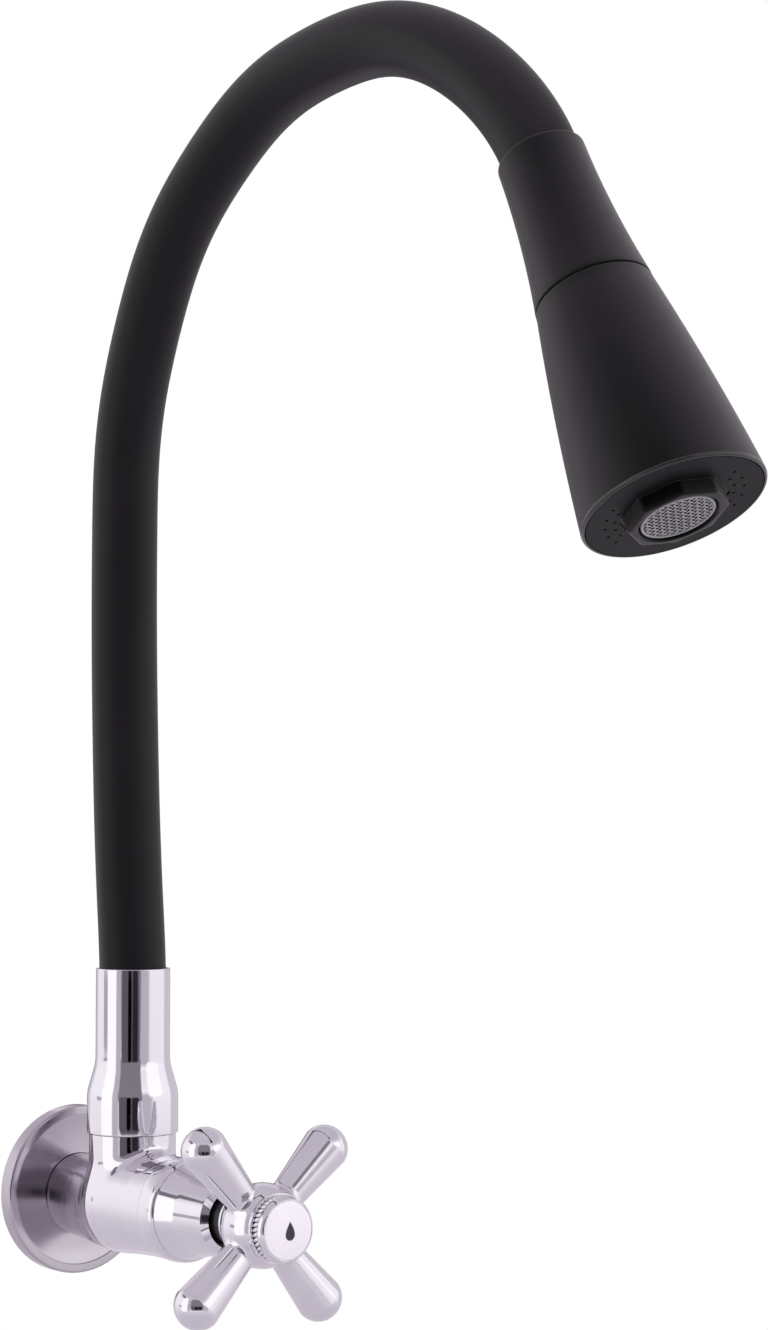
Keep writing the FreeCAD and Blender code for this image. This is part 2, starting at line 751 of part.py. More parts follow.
def swivel_spigot():
    groove_r = SPIGOT_R - SWIVEL_GROOVE_DEPTH
    tube = lathe(
        (SPIGOT_BORE_R, SPIGOT_FOOT),
        (SPIGOT_R, SPIGOT_FOOT),
        (SPIGOT_R, COLLAR_BASE),
        (SPIGOT_THREAD_R, COLLAR_BASE),
        (SPIGOT_THREAD_R, SPIGOT_SHOULDER - SEAT),
        (BARB_R, SPIGOT_SHOULDER - SEAT),
        (BARB_R, SPIGOT_SHOULDER + BARB_LENGTH),
        (BARB_BORE_R, SPIGOT_SHOULDER + BARB_LENGTH),
        (BARB_BORE_R, COLLAR_BASE + 2.0),
        (SPIGOT_BORE_R, COLLAR_BASE - 1.0),
    )
    width = 2.3 * SWIVEL_ORING_R
    cuts = [ring(SPIGOT_R + 1, groove_r, s - width / 2, s + width / 2) for s in SWIVEL_ORING_STATIONS]
    grub_half = GRUB_R + SWIVEL_GAP
    grub = ring(SPIGOT_R + 1, SPIGOT_R - GRUB_GROOVE, GRUB_STATION - grub_half, GRUB_STATION + grub_half)
    return on_spout(tube.cut(cuts + [grub]))


def swivel_o_rings():
    centre = SPIGOT_R - SWIVEL_ORING_R + RUN / 2
    rings = [torus(centre, SWIVEL_ORING_R - RUN, s) for s in SWIVEL_ORING_STATIONS]
    return on_spout(Part.makeCompound(rings))


def glide_ring():
    outer = NECK_R - 1.0
    start = NECK_TOP + FACE
    return on_spout(ring(outer, outer - GLIDE_WIDTH, start, start + GLIDE_THICKNESS))


def ferrule(start):
    """A crimped sleeve over the end of the wound core."""
    bore = CORE_R + SEAT
    return ring(FERRULE_R, bore, start, start + FERRULE_LENGTH)


def lower_ferrule():
    return on_spout(ferrule(SLEEVE_FOOT - SOFT - SEAT - FERRULE_LENGTH))


# Hose

SLEEVE_BORE = HOSE_R - SLEEVE_WALL
CORE_R = SLEEVE_BORE - SOFT
CORE_BORE = CORE_R - CORE_WALL
TUBE_R = CORE_BORE - SOFT
TUBE_BORE = TUBE_R - TUBE_WALL
CUP_R = BALL_END_R + SWIVEL_GAP
CORE_FOOT = SLEEVE_FOOT - FERRULE_LENGTH
TUBE_FOOT = SPIGOT_SHOULDER + SEAT
LAYERS = {
    "hose_sleeve": (HOSE_R, SLEEVE_BORE, SLEEVE_FOOT, HOSE_SEAT),
    "hose_core": (CORE_R, CORE_BORE, CORE_FOOT, HOSE_SEAT + SEAT + FERRULE_LENGTH),
    "water_tube": (TUBE_R, TUBE_BORE, TUBE_FOOT, HEAD_WEB_END - SEAT),
}


def on_sphere(sphere_r, radius):
    """The (radius, station) point below the centre where a sphere has a radius."""
    return (radius, -math.sqrt(sphere_r ** 2 - radius ** 2))


def arc_on_sphere(sphere_r, start, end):
    """An outline step along a sphere from one radius and station to another."""
    a = math.atan2(start[1], start[0])
    b = math.atan2(end[1], end[0])
    mid = (a + b) / 2
    return ((sphere_r * math.cos(mid), sphere_r * math.sin(mid)), end)


def ball_end(outer, bore):
    """The start of a link's layer: its ball, centred on the bend before it."""
    low = on_sphere(BALL_END_R, bore)
    top_r = min(outer, math.sqrt(BALL_END_R ** 2 - SHOULDER ** 2))
    if outer > BALL_END_R:
        cut = (math.sqrt(BALL_END_R ** 2 - BLUNT ** 2), -BLUNT)
        top = (top_r, SHOULDER)
        return lathe((bore, -BLUNT), cut, arc_on_sphere(BALL_END_R, cut, top), (bore, SHOULDER))
    side = on_sphere(BALL_END_R, outer)
    return lathe(low, arc_on_sphere(BALL_END_R, low, side), (outer, SHOULDER), (bore, SHOULDER))


def cup_end(outer, bore):
    """The end of a link's layer: its cup, round the bend after it."""
    low = on_sphere(CUP_R, bore)
    if outer > BALL_END_R:
        rim = (math.sqrt(CUP_R ** 2 - CUP_RIM ** 2), -CUP_RIM)
        side = (outer, -CUP_RIM)
    else:
        rim = side = on_sphere(CUP_R, outer)
    return lathe((bore, -CUP_RUN), (outer, -CUP_RUN), side, rim, arc_on_sphere(CUP_R, rim, low))


def step_from(y, z, heading, distance):
    """The point a distance along a heading."""
    turn = math.radians(heading)
    return y - distance * math.sin(turn), z + distance * math.cos(turn)


def bend_centre(y, z, heading, radius):
    """The centre of a bend that starts at a point; the radius is negative towards the wall."""
    turn = math.radians(heading)
    return y - radius * math.cos(turn), z - radius * math.sin(turn)


def bend(outer, bore, y, z, heading, length, turn):
    """One curved stretch of a layer, turned about the bend's centre."""
    cy, cz = bend_centre(y, z, heading, length / math.radians(turn))
    full, hollow = [
        placed(Part.Face(Part.Wire(Part.makeCircle(radius))), heading, y, z)
        .revolve(FreeCAD.Vector(0, cy, cz), X_AXIS, turn)
        for radius in (outer, bore)
    ]
    return full.cut(hollow)


def after_bend(y, z, heading, length, turn):
    """Where a curved stretch ends, and its heading there."""
    half = math.radians(turn / 2)
    chord = length * math.sin(half) / half
    y, z = step_from(y, z, heading + turn / 2, chord)
    return y, z, heading + turn


def route():
    """The start of each link, with its bends, and the mouth of the spray head."""
    y, z, heading = -SPOUT_OFFSET, SLEEVE_FOOT + FIRST_RUN, 0.0
    starts = []
    for number, bends in enumerate(LINK_BENDS):
        if number:
            y, z = step_from(y, z, heading, CUP_RUN)
            hinge = (y, z)
            y, z = step_from(y, z, heading, SHOULDER)
        else:
            hinge = None
        starts.append((hinge, (y, z, heading), bends))
        for length, turn in bends:
            y, z, heading = after_bend(y, z, heading, length, turn)
    return starts, (y, z, heading)


def link_layer(number, layer):
    """One layer of one link of the hose."""
    outer, bore, foot, seat = LAYERS[layer]
    starts, _ = route()
    hinge, (y, z, heading), bends = starts[number]
    if hinge:
        parts = [placed(ball_end(outer, bore), heading, *hinge)]
    else:
        parts = [on_spout(ring(outer, bore, foot, z))]
    for length, turn in bends:
        parts.append(bend(outer, bore, y, z, heading, length, turn))
        y, z, heading = after_bend(y, z, heading, length, turn)
    if number + 1 < len(LINK_BENDS):
        next_y, next_z = step_from(y, z, heading, CUP_RUN)
        parts.append(placed(cup_end(outer, bore), heading, next_y, next_z))
    else:
        parts.append(placed(ring(outer, bore, 0, seat), heading, y, z))
    return joined(parts)


# Spray head

def on_head(shape):
    """A shape whose stations run down the spray head's axis from its mouth."""
    _, (y, z, heading) = route()
    return placed(shape, heading, y, z)


def upper_shell():
    mid = (UPPER_MID_R, SEAM / 2)
    hose = HOSE_R + SWIVEL_GAP
    ferrule_r = FERRULE_R + SEAT
    inner_top = (UPPER_MID_R + 0.4 - HEAD_WALL, HEAD_WEB_END)
    inner_mid = ((UPPER_MID_R + SEAM_R) / 2 - 0.3 - HEAD_WALL, (HEAD_WEB_END + SEAM) / 2)
    return on_head(lathe(
        (hose, 0),
        (MOUTH_R - MOUTH_BEVEL, 0),
        (MOUTH_R, MOUTH_BEVEL),
        (mid, (SEAM_R, SEAM)),
        (SEAM_R - HEAD_WALL, SEAM),
        (inner_mid, inner_top),
        (ferrule_r, HEAD_WEB_END),
        (ferrule_r, HOSE_SEAT + SOFT),
        (hose, HOSE_SEAT + SOFT),
    ))


def upper_ferrule():
    return on_head(ferrule(HOSE_SEAT + SOFT + SEAT))


def head_connector():
    flange = prism(CONNECTOR_HEX, 6, HEAD_WEB_END, HEAD_WEB_END + CONNECTOR_FLANGE)
    spigot = rod(CONNECTOR_SPIGOT_R, HEAD_WEB_END, HEAD_WEB_END + CONNECTOR_FLANGE + CONNECTOR_SPIGOT)
    barb = rod(BARB_R, HEAD_WEB_END - BARB_LENGTH, HEAD_WEB_END)
    end = HEAD_WEB_END + CONNECTOR_FLANGE + CONNECTOR_SPIGOT
    return on_head(joined([flange, spigot, barb]).cut(rod(BARB_BORE_R, HEAD_WEB_END - BARB_LENGTH, end)))


CONNECTOR_END = HEAD_WEB_END + CONNECTOR_FLANGE + CONNECTOR_SPIGOT
CHAMBER_START = CONNECTOR_END + 2.0


def connector_washer():
    outer = CONNECTOR_SPIGOT_R - SEAT
    return on_head(ring(outer, BARB_BORE_R + 0.6, CONNECTOR_END, CHAMBER_START))


def diverter_body():
    """The fixed core that the lower shell turns on; one port faces the selector disc."""
    port_depth = 4.0
    clip_start = SEAM - CLIP_THICKNESS + 0.4
    groove_half = 1.15 * HEAD_ORING_R
    body = lathe(
        (CONNECTOR_SPIGOT_R + SEAT, DIVERTER_START),
        (DIVERTER_R, DIVERTER_START),
        (DIVERTER_R, DIVERTER_END),
        (0, DIVERTER_END),
        (0, DIVERTER_END - port_depth),
        (DIVERTER_CHAMBER_R, DIVERTER_END - port_depth),
        (DIVERTER_CHAMBER_R, CHAMBER_START),
        (CONNECTOR_SPIGOT_R + SEAT, CHAMBER_START),
    )
    cuts = [
        rod(JET_PORT_R, DIVERTER_END - port_depth, DIVERTER_END, JET_PORT_RADIUS),
        rod(DETENT_R + SEAT, DIVERTER_END - DETENT_DEPTH, DIVERTER_END, -DETENT_RADIUS),
        ring(DIVERTER_R + 1, DIVERTER_R - 0.9, clip_start - SEAT, clip_start + CLIP_THICKNESS + SEAT),
        ring(DIVERTER_R + 1, DIVERTER_R - 2 * HEAD_ORING_R - SEAT,
             HEAD_ORING_STATION - groove_half, HEAD_ORING_STATION + groove_half),
    ]
    return on_head(body.cut(cuts))


def head_circlip():
    start = SEAM - CLIP_THICKNESS + 0.4
    clip = ring(CLIP_R, DIVERTER_R - 0.85, start, start + CLIP_THICKNESS)
    return on_head(clip.cut(mouth_wedge(CLIP_R, start, CLIP_THICKNESS)))


def head_o_ring():
    return on_head(torus(DIVERTER_R - HEAD_ORING_R, HEAD_ORING_R - SEAT, HEAD_ORING_STATION))


def detent_spring():
    start = DIVERTER_END - DETENT_DEPTH + SEAT
    end = DIVERTER_END - 2 * DETENT_R - 2 * SEAT
    spring = ring(DETENT_R - 0.1, DETENT_R - 0.5, start, end)
    spring.translate(FreeCAD.Vector(-DETENT_RADIUS, 0, 0))
    return on_head(spring)


def detent_ball():
    centre = DIVERTER_END - DETENT_R
    return on_head(Part.makeSphere(DETENT_R, FreeCAD.Vector(-DETENT_RADIUS, 0, centre)))


LOWER_START = SEAM + SEAM_GAP
PLATE_START = FACE_STATION - PLATE_THICKNESS - FACE


def lower_shell():
    """The cone that turns to choose the jet, with its partition and centre tube."""
    length = FACE_STATION - FACE_ROUND - LOWER_START
    mid = (LOWER_MID_R, LOWER_START + length / 2)
    floor_end = FLOOR_STATION + FLOOR_THICKNESS
    seat = PLATE_R + SEAT
    inner_low = (seat - 1.1, PLATE_START)
    inner_mid = (LOWER_MID_R - HEAD_WALL + 0.5, (PLATE_START + floor_end) / 2)
    inner_top = (SEAM_R + 2.4 - HEAD_WALL, floor_end)
    shell = lathe(
        (DIVERTER_R + 2 * RUN, LOWER_START),
        (SEAM_R + 0.05, LOWER_START),
        (mid, (FACE_R - 0.1, FACE_STATION - FACE_ROUND)),
        ((FACE_R - 0.45, FACE_STATION - 0.4), (FACE_R - 1.0, FACE_STATION)),
        (seat, FACE_STATION),
        (seat, PLATE_START),
        inner_low,
        (inner_mid, inner_top),
        (CENTRE_TUBE_R, floor_end),
        (CENTRE_TUBE_R, CENTRE_TUBE_END),
        (CENTRE_BORE_R, CENTRE_TUBE_END),
        (CENTRE_BORE_R, FLOOR_STATION),
        (DIVERTER_R + 2 * RUN, FLOOR_STATION),
    )
    step = 360.0 / SPRAY_FEED_COUNT
    feed = rod(SPRAY_FEED_R, FLOOR_STATION, floor_end, SPRAY_FEED_RADIUS)
    return on_head(shell.cut([turned(feed, i * step) for i in range(SPRAY_FEED_COUNT)]))


def selector_disc():
    """The disc that leads the jet to the centre, or a quarter turn away to the spray."""
    start = DIVERTER_END + 2 * FACE
    end = FLOOR_STATION - FACE
    disc = rod(DIVERTER_R, start, end)
    pocket = turned(rod(JET_PORT_R, start, start + 3.0, JET_PORT_RADIUS), -90)
    reach = SPRAY_FEED_RADIUS - JET_PORT_RADIUS
    drill = Part.makeCylinder(1.1, reach, FreeCAD.Vector(JET_PORT_RADIUS, 0, start + 1.8), X_AXIS)
    cuts = [
        rod(JET_PORT_R, start, end, JET_PORT_RADIUS),
        pocket,
        turned(drill, -90),
        ring(DIVERTER_R, SPRAY_FEED_RADIUS - SPRAY_FEED_R, start + 2.9, end),
    ]
    return on_head(disc.cut(cuts))


def octagon(across, start, end):
    """The boss's eight-sided shape, turned as it stands on the face."""
    return turned(prism(across, NOZZLE_SIDES, start, end), NOZZLE_TURN)


def face_plate():
    """The ring-shaped front plate, drilled with two groups of spray holes."""
    start = PLATE_START + FACE
    bore = octagon(NOZZLE_ACROSS + 2 * NOZZLE_GROOVE, start, FACE_STATION)
    cuts = [bore]
    for centre in SPRAY_CLUSTERS:
        for radius, count in SPRAY_ROWS:
            for i in range(count):
                angle = centre + (i - (count - 1) / 2) * SPRAY_STEP
                cuts.append(turned(rod(SPRAY_HOLE_R, start, FACE_STATION, radius), angle))
    return on_head(rod(PLATE_R, start, FACE_STATION - FACE).cut(cuts))


def nozzle_boss():
    """The boss, on a flange that the plate lies on, with a skirt round the centre tube."""
    front = FACE_STATION + NOZZLE_PROUD
    boss = octagon(NOZZLE_ACROSS, NOZZLE_BACK, front)
    edges = [e for e in boss.Edges if e.BoundBox.ZMin > front - 0.01]
    boss = boss.makeChamfer(0.5, edges)
    skirt_start = CENTRE_TUBE_END - NOZZLE_GRIP
    floor_end = NOZZLE_BACK + NOZZLE_FLOOR
    skirt = rod(NOZZLE_SKIRT_R, skirt_start, floor_end)
    flange = rod(NOZZLE_FLANGE_R, NOZZLE_BACK, PLATE_START)
    cuts = [
        rod(CENTRE_TUBE_R + SEAT, skirt_start, floor_end),
        rod(NOZZLE_BORE_R, floor_end, front),
    ]
    return on_head(joined([boss, skirt, flange]).cut(cuts))


AERATOR_BACK = NOZZLE_BACK + NOZZLE_FLOOR + 1.3
AERATOR_FRONT = FACE_STATION + NOZZLE_PROUD - AERATOR_SUNK
SCREEN_START = AERATOR_FRONT - SCREEN_SUNK - SCREEN_THICKNESS


def aerator_washer():
    start = NOZZLE_BACK + NOZZLE_FLOOR
    return on_head(ring(AERATOR_R + 0.6, CENTRE_TUBE_R + 0.2, start, AERATOR_BACK))


def aerator_housing():
    inner = AERATOR_R - AERATOR_WALL
    ledge = inner - 0.9
    return on_head(lathe(
        (ledge, AERATOR_BACK),
        (AERATOR_R, AERATOR_BACK),
        (AERATOR_R, AERATOR_FRONT - 0.3),
        (AERATOR_R - 0.3, AERATOR_FRONT),
        (inner, AERATOR_FRONT),
        (inner, SCREEN_START - SEAT),
        (ledge, SCREEN_START - SEAT),
    ))


def aerator_screen():
    """The square mesh in front of the aerator, as one pierced plate."""
    radius = AERATOR_R - AERATOR_WALL - SEAT
    half = (SCREEN_PITCH - SCREEN_BAR) / 2
    reach = int(radius / SCREEN_PITCH)
    wires = [Part.Wire(Part.makeCircle(radius, FreeCAD.Vector(0, 0, SCREEN_START)))]
    for i in range(-reach, reach + 1):
        for k in range(-reach, reach + 1):
            x = i * SCREEN_PITCH
            y = k * SCREEN_PITCH
            if math.hypot(abs(x) + half, abs(y) + half) < radius - SCREEN_BAR:
                wires.append(square(x, y, half))
    return on_head(Part.Face(wires).extrude(FreeCAD.Vector(0, 0, SCREEN_THICKNESS)))


def square(x, y, half):
    """A square hole's outline in the plane of the mesh."""
    corners = ((-half, -half), (-half, half), (half, half), (half, -half), (-half, -half))
    return Part.makePolygon([FreeCAD.Vector(x + a, y + b, SCREEN_START) for a, b in corners])


PIECES = (
    wall_flange, flange_seal, inlet_nipple, tap_body, swivel_grub_screw,
    cartridge_body, cartridge_washer, seat_seal, fixed_disc, bonnet_sleeve, bonnet_ring,
    moving_disc, spindle, spindle_o_rings, spindle_circlip,
    spline_insert, cross_handle, handle_screw, bead_ring, index_cap, index_disc,
    spout_socket, swivel_spigot, swivel_o_rings, glide_ring, lower_ferrule,
    upper_shell, upper_ferrule, head_connector, connector_washer,
    diverter_body, head_circlip, head_o_ring, detent_spring, detent_ball,
    lower_shell, selector_disc, face_plate, nozzle_boss,
    aerator_washer, aerator_housing, aerator_screen,
)


def write(name, shape):
    """Export one piece under its own name."""
    shape.exportStep("parts/" + name + ".step")
    print(f"{name:20s} solids {len(shape.Solids)} valid {shape.isValid()} volume {shape.Volume:.1f}")


def main():
    os.makedirs("parts", exist_ok=True)
    for piece in PIECES:
        write(piece.__name__, piece())
    for layer in LAYERS:
        for number in range(len(LINK_BENDS)):
            write(f"{layer}_{number + 1}", link_layer(number, layer))
    starts, mouth = route()
    for hinge, _, _ in starts[1:]:
        print("bend centre", hinge)
    print("spray head mouth and heading", mouth)


main()
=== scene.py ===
import json
import logging
import math
from dataclasses import dataclass, replace
from enum import Enum
from typing import Optional, Sequence, Union

import bmesh
import bpy
import numpy as np
from mathutils import Matrix, Vector


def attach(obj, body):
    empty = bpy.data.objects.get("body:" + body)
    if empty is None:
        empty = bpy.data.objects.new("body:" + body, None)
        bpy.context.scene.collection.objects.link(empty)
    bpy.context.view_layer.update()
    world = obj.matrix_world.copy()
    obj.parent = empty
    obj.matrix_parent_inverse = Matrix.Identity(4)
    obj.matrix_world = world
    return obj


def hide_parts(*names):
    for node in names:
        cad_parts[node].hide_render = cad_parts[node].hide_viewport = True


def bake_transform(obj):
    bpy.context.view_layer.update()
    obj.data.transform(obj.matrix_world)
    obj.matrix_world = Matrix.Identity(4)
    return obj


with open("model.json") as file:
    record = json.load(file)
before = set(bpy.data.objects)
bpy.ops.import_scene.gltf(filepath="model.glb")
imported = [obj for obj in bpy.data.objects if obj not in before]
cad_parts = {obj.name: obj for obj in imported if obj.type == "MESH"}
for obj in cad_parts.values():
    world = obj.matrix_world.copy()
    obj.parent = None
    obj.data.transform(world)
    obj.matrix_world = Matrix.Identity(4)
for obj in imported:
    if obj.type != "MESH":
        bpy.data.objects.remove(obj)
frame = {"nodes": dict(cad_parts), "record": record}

LOG = logging.getLogger("tap")
MM = 0.001
FULL_TURN = 2 * math.pi
TINY = 1e-6

Colour = tuple[float, float, float]
Pair = tuple[float, float]
Point = tuple[float, float, float]
Mesh = bmesh.types.BMesh
Socket = bpy.types.NodeSocket
Tree = bpy.types.NodeTree

# What the inputs of a shader node get: each another node's output, a number or a colour
Feed = Union[Socket, float, Sequence[float]]
Inputs = dict[Union[str, int], Feed]

UP: Point = (0.0, 0.0, 1.0)
FORWARDS: Point = (0.0, -1.0, 0.0)
BACKWARDS: Point = (0.0, 1.0, 0.0)


# Placement of the axes that the pieces are built on

@dataclass(frozen=True)
class Axis:
    """An axis of the tap: where station 0 is, and its heading from straight up towards -Y."""

    y: float
    z: float
    heading: float

    def matrix(self) -> Matrix:
        """The matrix that takes a shape built on Z to this axis, in millimetres."""
        turn = Matrix.Rotation(math.radians(self.heading), 4, "X")
        return Matrix.Translation((0, self.y, self.z)) @ turn

    def at(self, distance: float) -> "Axis":
        """The axis a distance further along its own heading."""
        turn = math.radians(self.heading)
        y = self.y - distance * math.sin(turn)
        return Axis(y, self.z + distance * math.cos(turn), self.heading)

    def bent(self, length: float, turn: float) -> "Axis":
        """The axis at the end of a curved stretch that starts here.

        Args:
            length: The stretch's length along the hose.
            turn: The change of heading in degrees.

        Returns:
            The axis at the stretch's end.
        """
        half = math.radians(turn / 2)
        chord = length * math.sin(half) / half
        middle = Axis(self.y, self.z, self.heading + turn / 2).at(chord)
        return Axis(middle.y, middle.z, self.heading + turn)

    def point(self) -> Vector:
        """Station 0 in the frame's metres."""
        return Vector((0, self.y, self.z)) * MM


VALVE = Axis(0.0, 0.0, 90.0)
SPOUT = Axis(-36.7, 0.0, 0.0)


# Meshes

class Profile:
    """An outline of (radius, station) points, turned about an axis to make a piece."""

    def __init__(self, *points: Pair) -> None:
        """Starts the outline at a point, with straight sides to any more."""
        self.points: list[Pair] = list(points)

    def to(self, *points: Pair) -> "Profile":
        """Adds straight sides from point to point."""
        self.points += points
        return self

    def arc(self, middle: Pair, end: Pair, count: int) -> "Profile":
        """Adds an arc from the last point through a middle one to an end.

        Args:
            middle: A point that the arc passes.
            end: The arc's last point.
            count: The number of sides that the arc is drawn with.

        Returns:
            The outline itself.
        """
        start = self.points[-1]
        centre, radius = circle_through(start, middle, end)
        first, halfway, last = (math.atan2(s - centre[1], r - centre[0])
                                for r, s in (start, middle, end))
        sweep = (last - first) % FULL_TURN
        if (halfway - first) % FULL_TURN > sweep:
            sweep -= FULL_TURN
        for i in range(1, count + 1):
            angle = first + sweep * i / count
            self.to((centre[0] + radius * math.cos(angle), centre[1] + radius * math.sin(angle)))
        return self

    def round_to(self, corner: Pair, end: Pair, radius: float, count: int = 3) -> "Profile":
        """Adds a side to a corner, rounds the corner and goes on to an end.

        Args:
            corner: The sharp corner that is rounded.
            end: The point after the corner.
            radius: The distance that the rounding keeps from the corner.
            count: The number of sides of the rounding.

        Returns:
            The outline itself.
        """
        here, turn, there = Vector(self.points[-1]), Vector(corner), Vector(end)
        start = turn + (here - turn).normalized() * radius
        stop = turn + (there - turn).normalized() * radius
        for i in range(count + 1):
            t = i / count
            self.to(tuple(start * (1 - t) ** 2 + turn * 2 * t * (1 - t) + stop * t * t))
        return self.to(tuple(there))

    def turn(self, sides: int) -> Mesh:
        """Spins the outline, closed back to its first point, into a solid.

        Args:
            sides: The number of sides round the axis.

        Returns:
            The solid, in millimetres, about Z.
        """
        bm = bmesh.new()
        verts = [bm.verts.new((r, 0, s)) for r, s in self.points]
        edges = [bm.edges.new((a, b)) for a, b in zip(verts, verts[1:] + verts[:1])]
        bmesh.ops.spin(bm, geom=verts + edges, cent=(0, 0, 0), axis=UP,
                       angle=FULL_TURN, steps=sides, use_merge=True)
        bmesh.ops.remove_doubles(bm, verts=bm.verts, dist=1e-4)
        bmesh.ops.dissolve_degenerate(bm, edges=bm.edges, dist=1e-5)
        bmesh.ops.recalc_face_normals(bm, faces=bm.faces)
        return bm


def circle_through(a: Pair, b: Pair, c: Pair) -> tuple[Pair, float]:
    """The circle through three points.

    Args:
        a: The first point.
        b: The second point.
        c: The third point.

    Returns:
        The circle's centre and radius.
    """
    d = 2 * (a[0] * (b[1] - c[1]) + b[0] * (c[1] - a[1]) + c[0] * (a[1] - b[1]))
    squares = [p[0] ** 2 + p[1] ** 2 for p in (a, b, c)]
    x = (squares[0] * (b[1] - c[1]) + squares[1] * (c[1] - a[1]) + squares[2] * (a[1] - b[1])) / d
    y = (squares[0] * (c[0] - b[0]) + squares[1] * (a[0] - c[0]) + squares[2] * (b[0] - a[0])) / d
    return (x, y), math.hypot(a[0] - x, a[1] - y)


def move(bm: Mesh, matrix: Matrix) -> Mesh:
    """Moves a whole mesh and returns it."""
    bmesh.ops.transform(bm, matrix=matrix, verts=bm.verts)
    return bm


def merged(parts: Sequence[Mesh]) -> Mesh:
    """One mesh that holds several, which are freed."""
    bm = bmesh.new()
    for part in parts:
        mesh = bpy.data.meshes.new("part")
        part.to_mesh(mesh)
        part.free()
        bm.from_mesh(mesh)
        bpy.data.meshes.remove(mesh)
    return bm


def ring(bm: Mesh, radius: float, place: Matrix, sides: int = 96) -> list[bmesh.types.BMEdge]:
    """Adds a ring of edges.

    Args:
        bm: The mesh that it goes in.
        radius: The radius of its corners.
        place: The matrix that takes it from Z to its place.
        sides: The number of its sides.

    Returns:
        The ring's edges.
    """
    made = bmesh.ops.create_circle(bm, segments=sides, radius=radius, matrix=place)
    return list({e for v in made["verts"] for e in v.link_edges})


def draw_on(bm: Mesh, front: Sequence[bmesh.types.BMFace], steps: Sequence[Matrix]) -> Mesh:
    """Draws faces on step by step, which leaves a closed solid behind them.

    Args:
        bm: The mesh, which holds the faces.
        front: The faces.
        steps: The movement of each step.

    Returns:
        The mesh.
    """
    for i, step in enumerate(steps):
        made = bmesh.ops.extrude_face_region(bm, geom=front, use_keep_orig=i == 0)["geom"]
        front = [g for g in made if isinstance(g, bmesh.types.BMFace)]
        verts = [g for g in made if isinstance(g, bmesh.types.BMVert)]
        bmesh.ops.transform(bm, matrix=step, verts=verts)
    bmesh.ops.recalc_face_normals(bm, faces=bm.faces)
    return bm


def shade(bm: Mesh, sharp: float) -> None:
    """Smooths a mesh's shading apart from edges sharper than an angle in degrees."""
    limit = math.radians(sharp)
    for face in bm.faces:
        face.smooth = True
    for edge in bm.edges:
        edge.smooth = len(edge.link_faces) == 2 and edge.calc_face_angle(0.0) < limit


def piece(name: str, bm: Mesh, material: bpy.types.Material, sharp: float = 32.0) -> bpy.types.Object:
    """Makes a finished object from a mesh in millimetres and frees the mesh.

    Args:
        name: The object's name.
        bm: The mesh, in place.
        material: Its finish.
        sharp: Edges sharper than this many degrees stay sharp in the shading.

    Returns:
        The object, in metres, with its origin at the frame's origin.
    """
    shade(bm, sharp)
    bmesh.ops.scale(bm, vec=(MM, MM, MM), verts=bm.verts)
    mesh = bpy.data.meshes.new(name)
    bm.to_mesh(mesh)
    bm.free()
    mesh.materials.append(material)
    obj = bpy.data.objects.new(name, mesh)
    bpy.context.scene.collection.objects.link(obj)
    LOG.info("%s: %d faces", name, len(mesh.polygons))
    return obj


# Blended castings: simple solids that flow into each other with a fillet

@dataclass(frozen=True)
class Limb:
    """A round bar between two points that may change its radius; equal points make a ball."""

    start: Point
    end: Point
    start_r: float
    end_r: float

    def distance(self, p: np.ndarray) -> np.ndarray:
        """The distance of points from the bar's surface, negative inside.

        Args:
            p: Points, one to a row.

        Returns:
            One distance for each point.
        """
        a, b = np.array(self.start), np.array(self.end)
        axis = b - a
        length = float(np.linalg.norm(axis))
        if length < TINY:
            return np.linalg.norm(p - a, axis=1) - self.start_r
        axis /= length
        along = (p - a) @ axis
        away = np.linalg.norm(p - a - along[:, None] * axis, axis=1)
        slope = (self.start_r - self.end_r) / length
        lean = math.sqrt(max(1e-9, 1 - slope * slope))
        foot = np.clip(along + away * slope / lean, 0, length)
        radius = self.start_r + (self.end_r - self.start_r) * foot / length
        return np.hypot(along - foot, away) - radius

    def mesh(self) -> Mesh:
        """A rough closed mesh of the bar, as a start for the casting."""
        a, b = Vector(self.start), Vector(self.end)
        parts = [ball(a, self.start_r), ball(b, self.end_r)]
        if (b - a).length > TINY:
            bar = bmesh.new()
            bmesh.ops.create_cone(bar, cap_ends=True, segments=48, radius1=self.start_r,
                                  radius2=self.end_r, depth=(b - a).length)
            turn = (b - a).to_track_quat("Z", "Y").to_matrix().to_4x4()
            parts.append(move(bar, Matrix.Translation((a + b) / 2) @ turn))
        return merged(parts)


def ball(centre: Vector, radius: float) -> Mesh:
    """A rough ball about a point."""
    bm = bmesh.new()
    bmesh.ops.create_icosphere(bm, subdivisions=4, radius=radius)
    return move(bm, Matrix.Translation(centre))


def soft_min(a: np.ndarray, b: np.ndarray, size: float) -> np.ndarray:
    """The lesser of two distances, eased over a fillet's size."""
    ease = np.maximum(size - np.abs(a - b), 0) / size
    return np.minimum(a, b) - ease * ease * size / 4


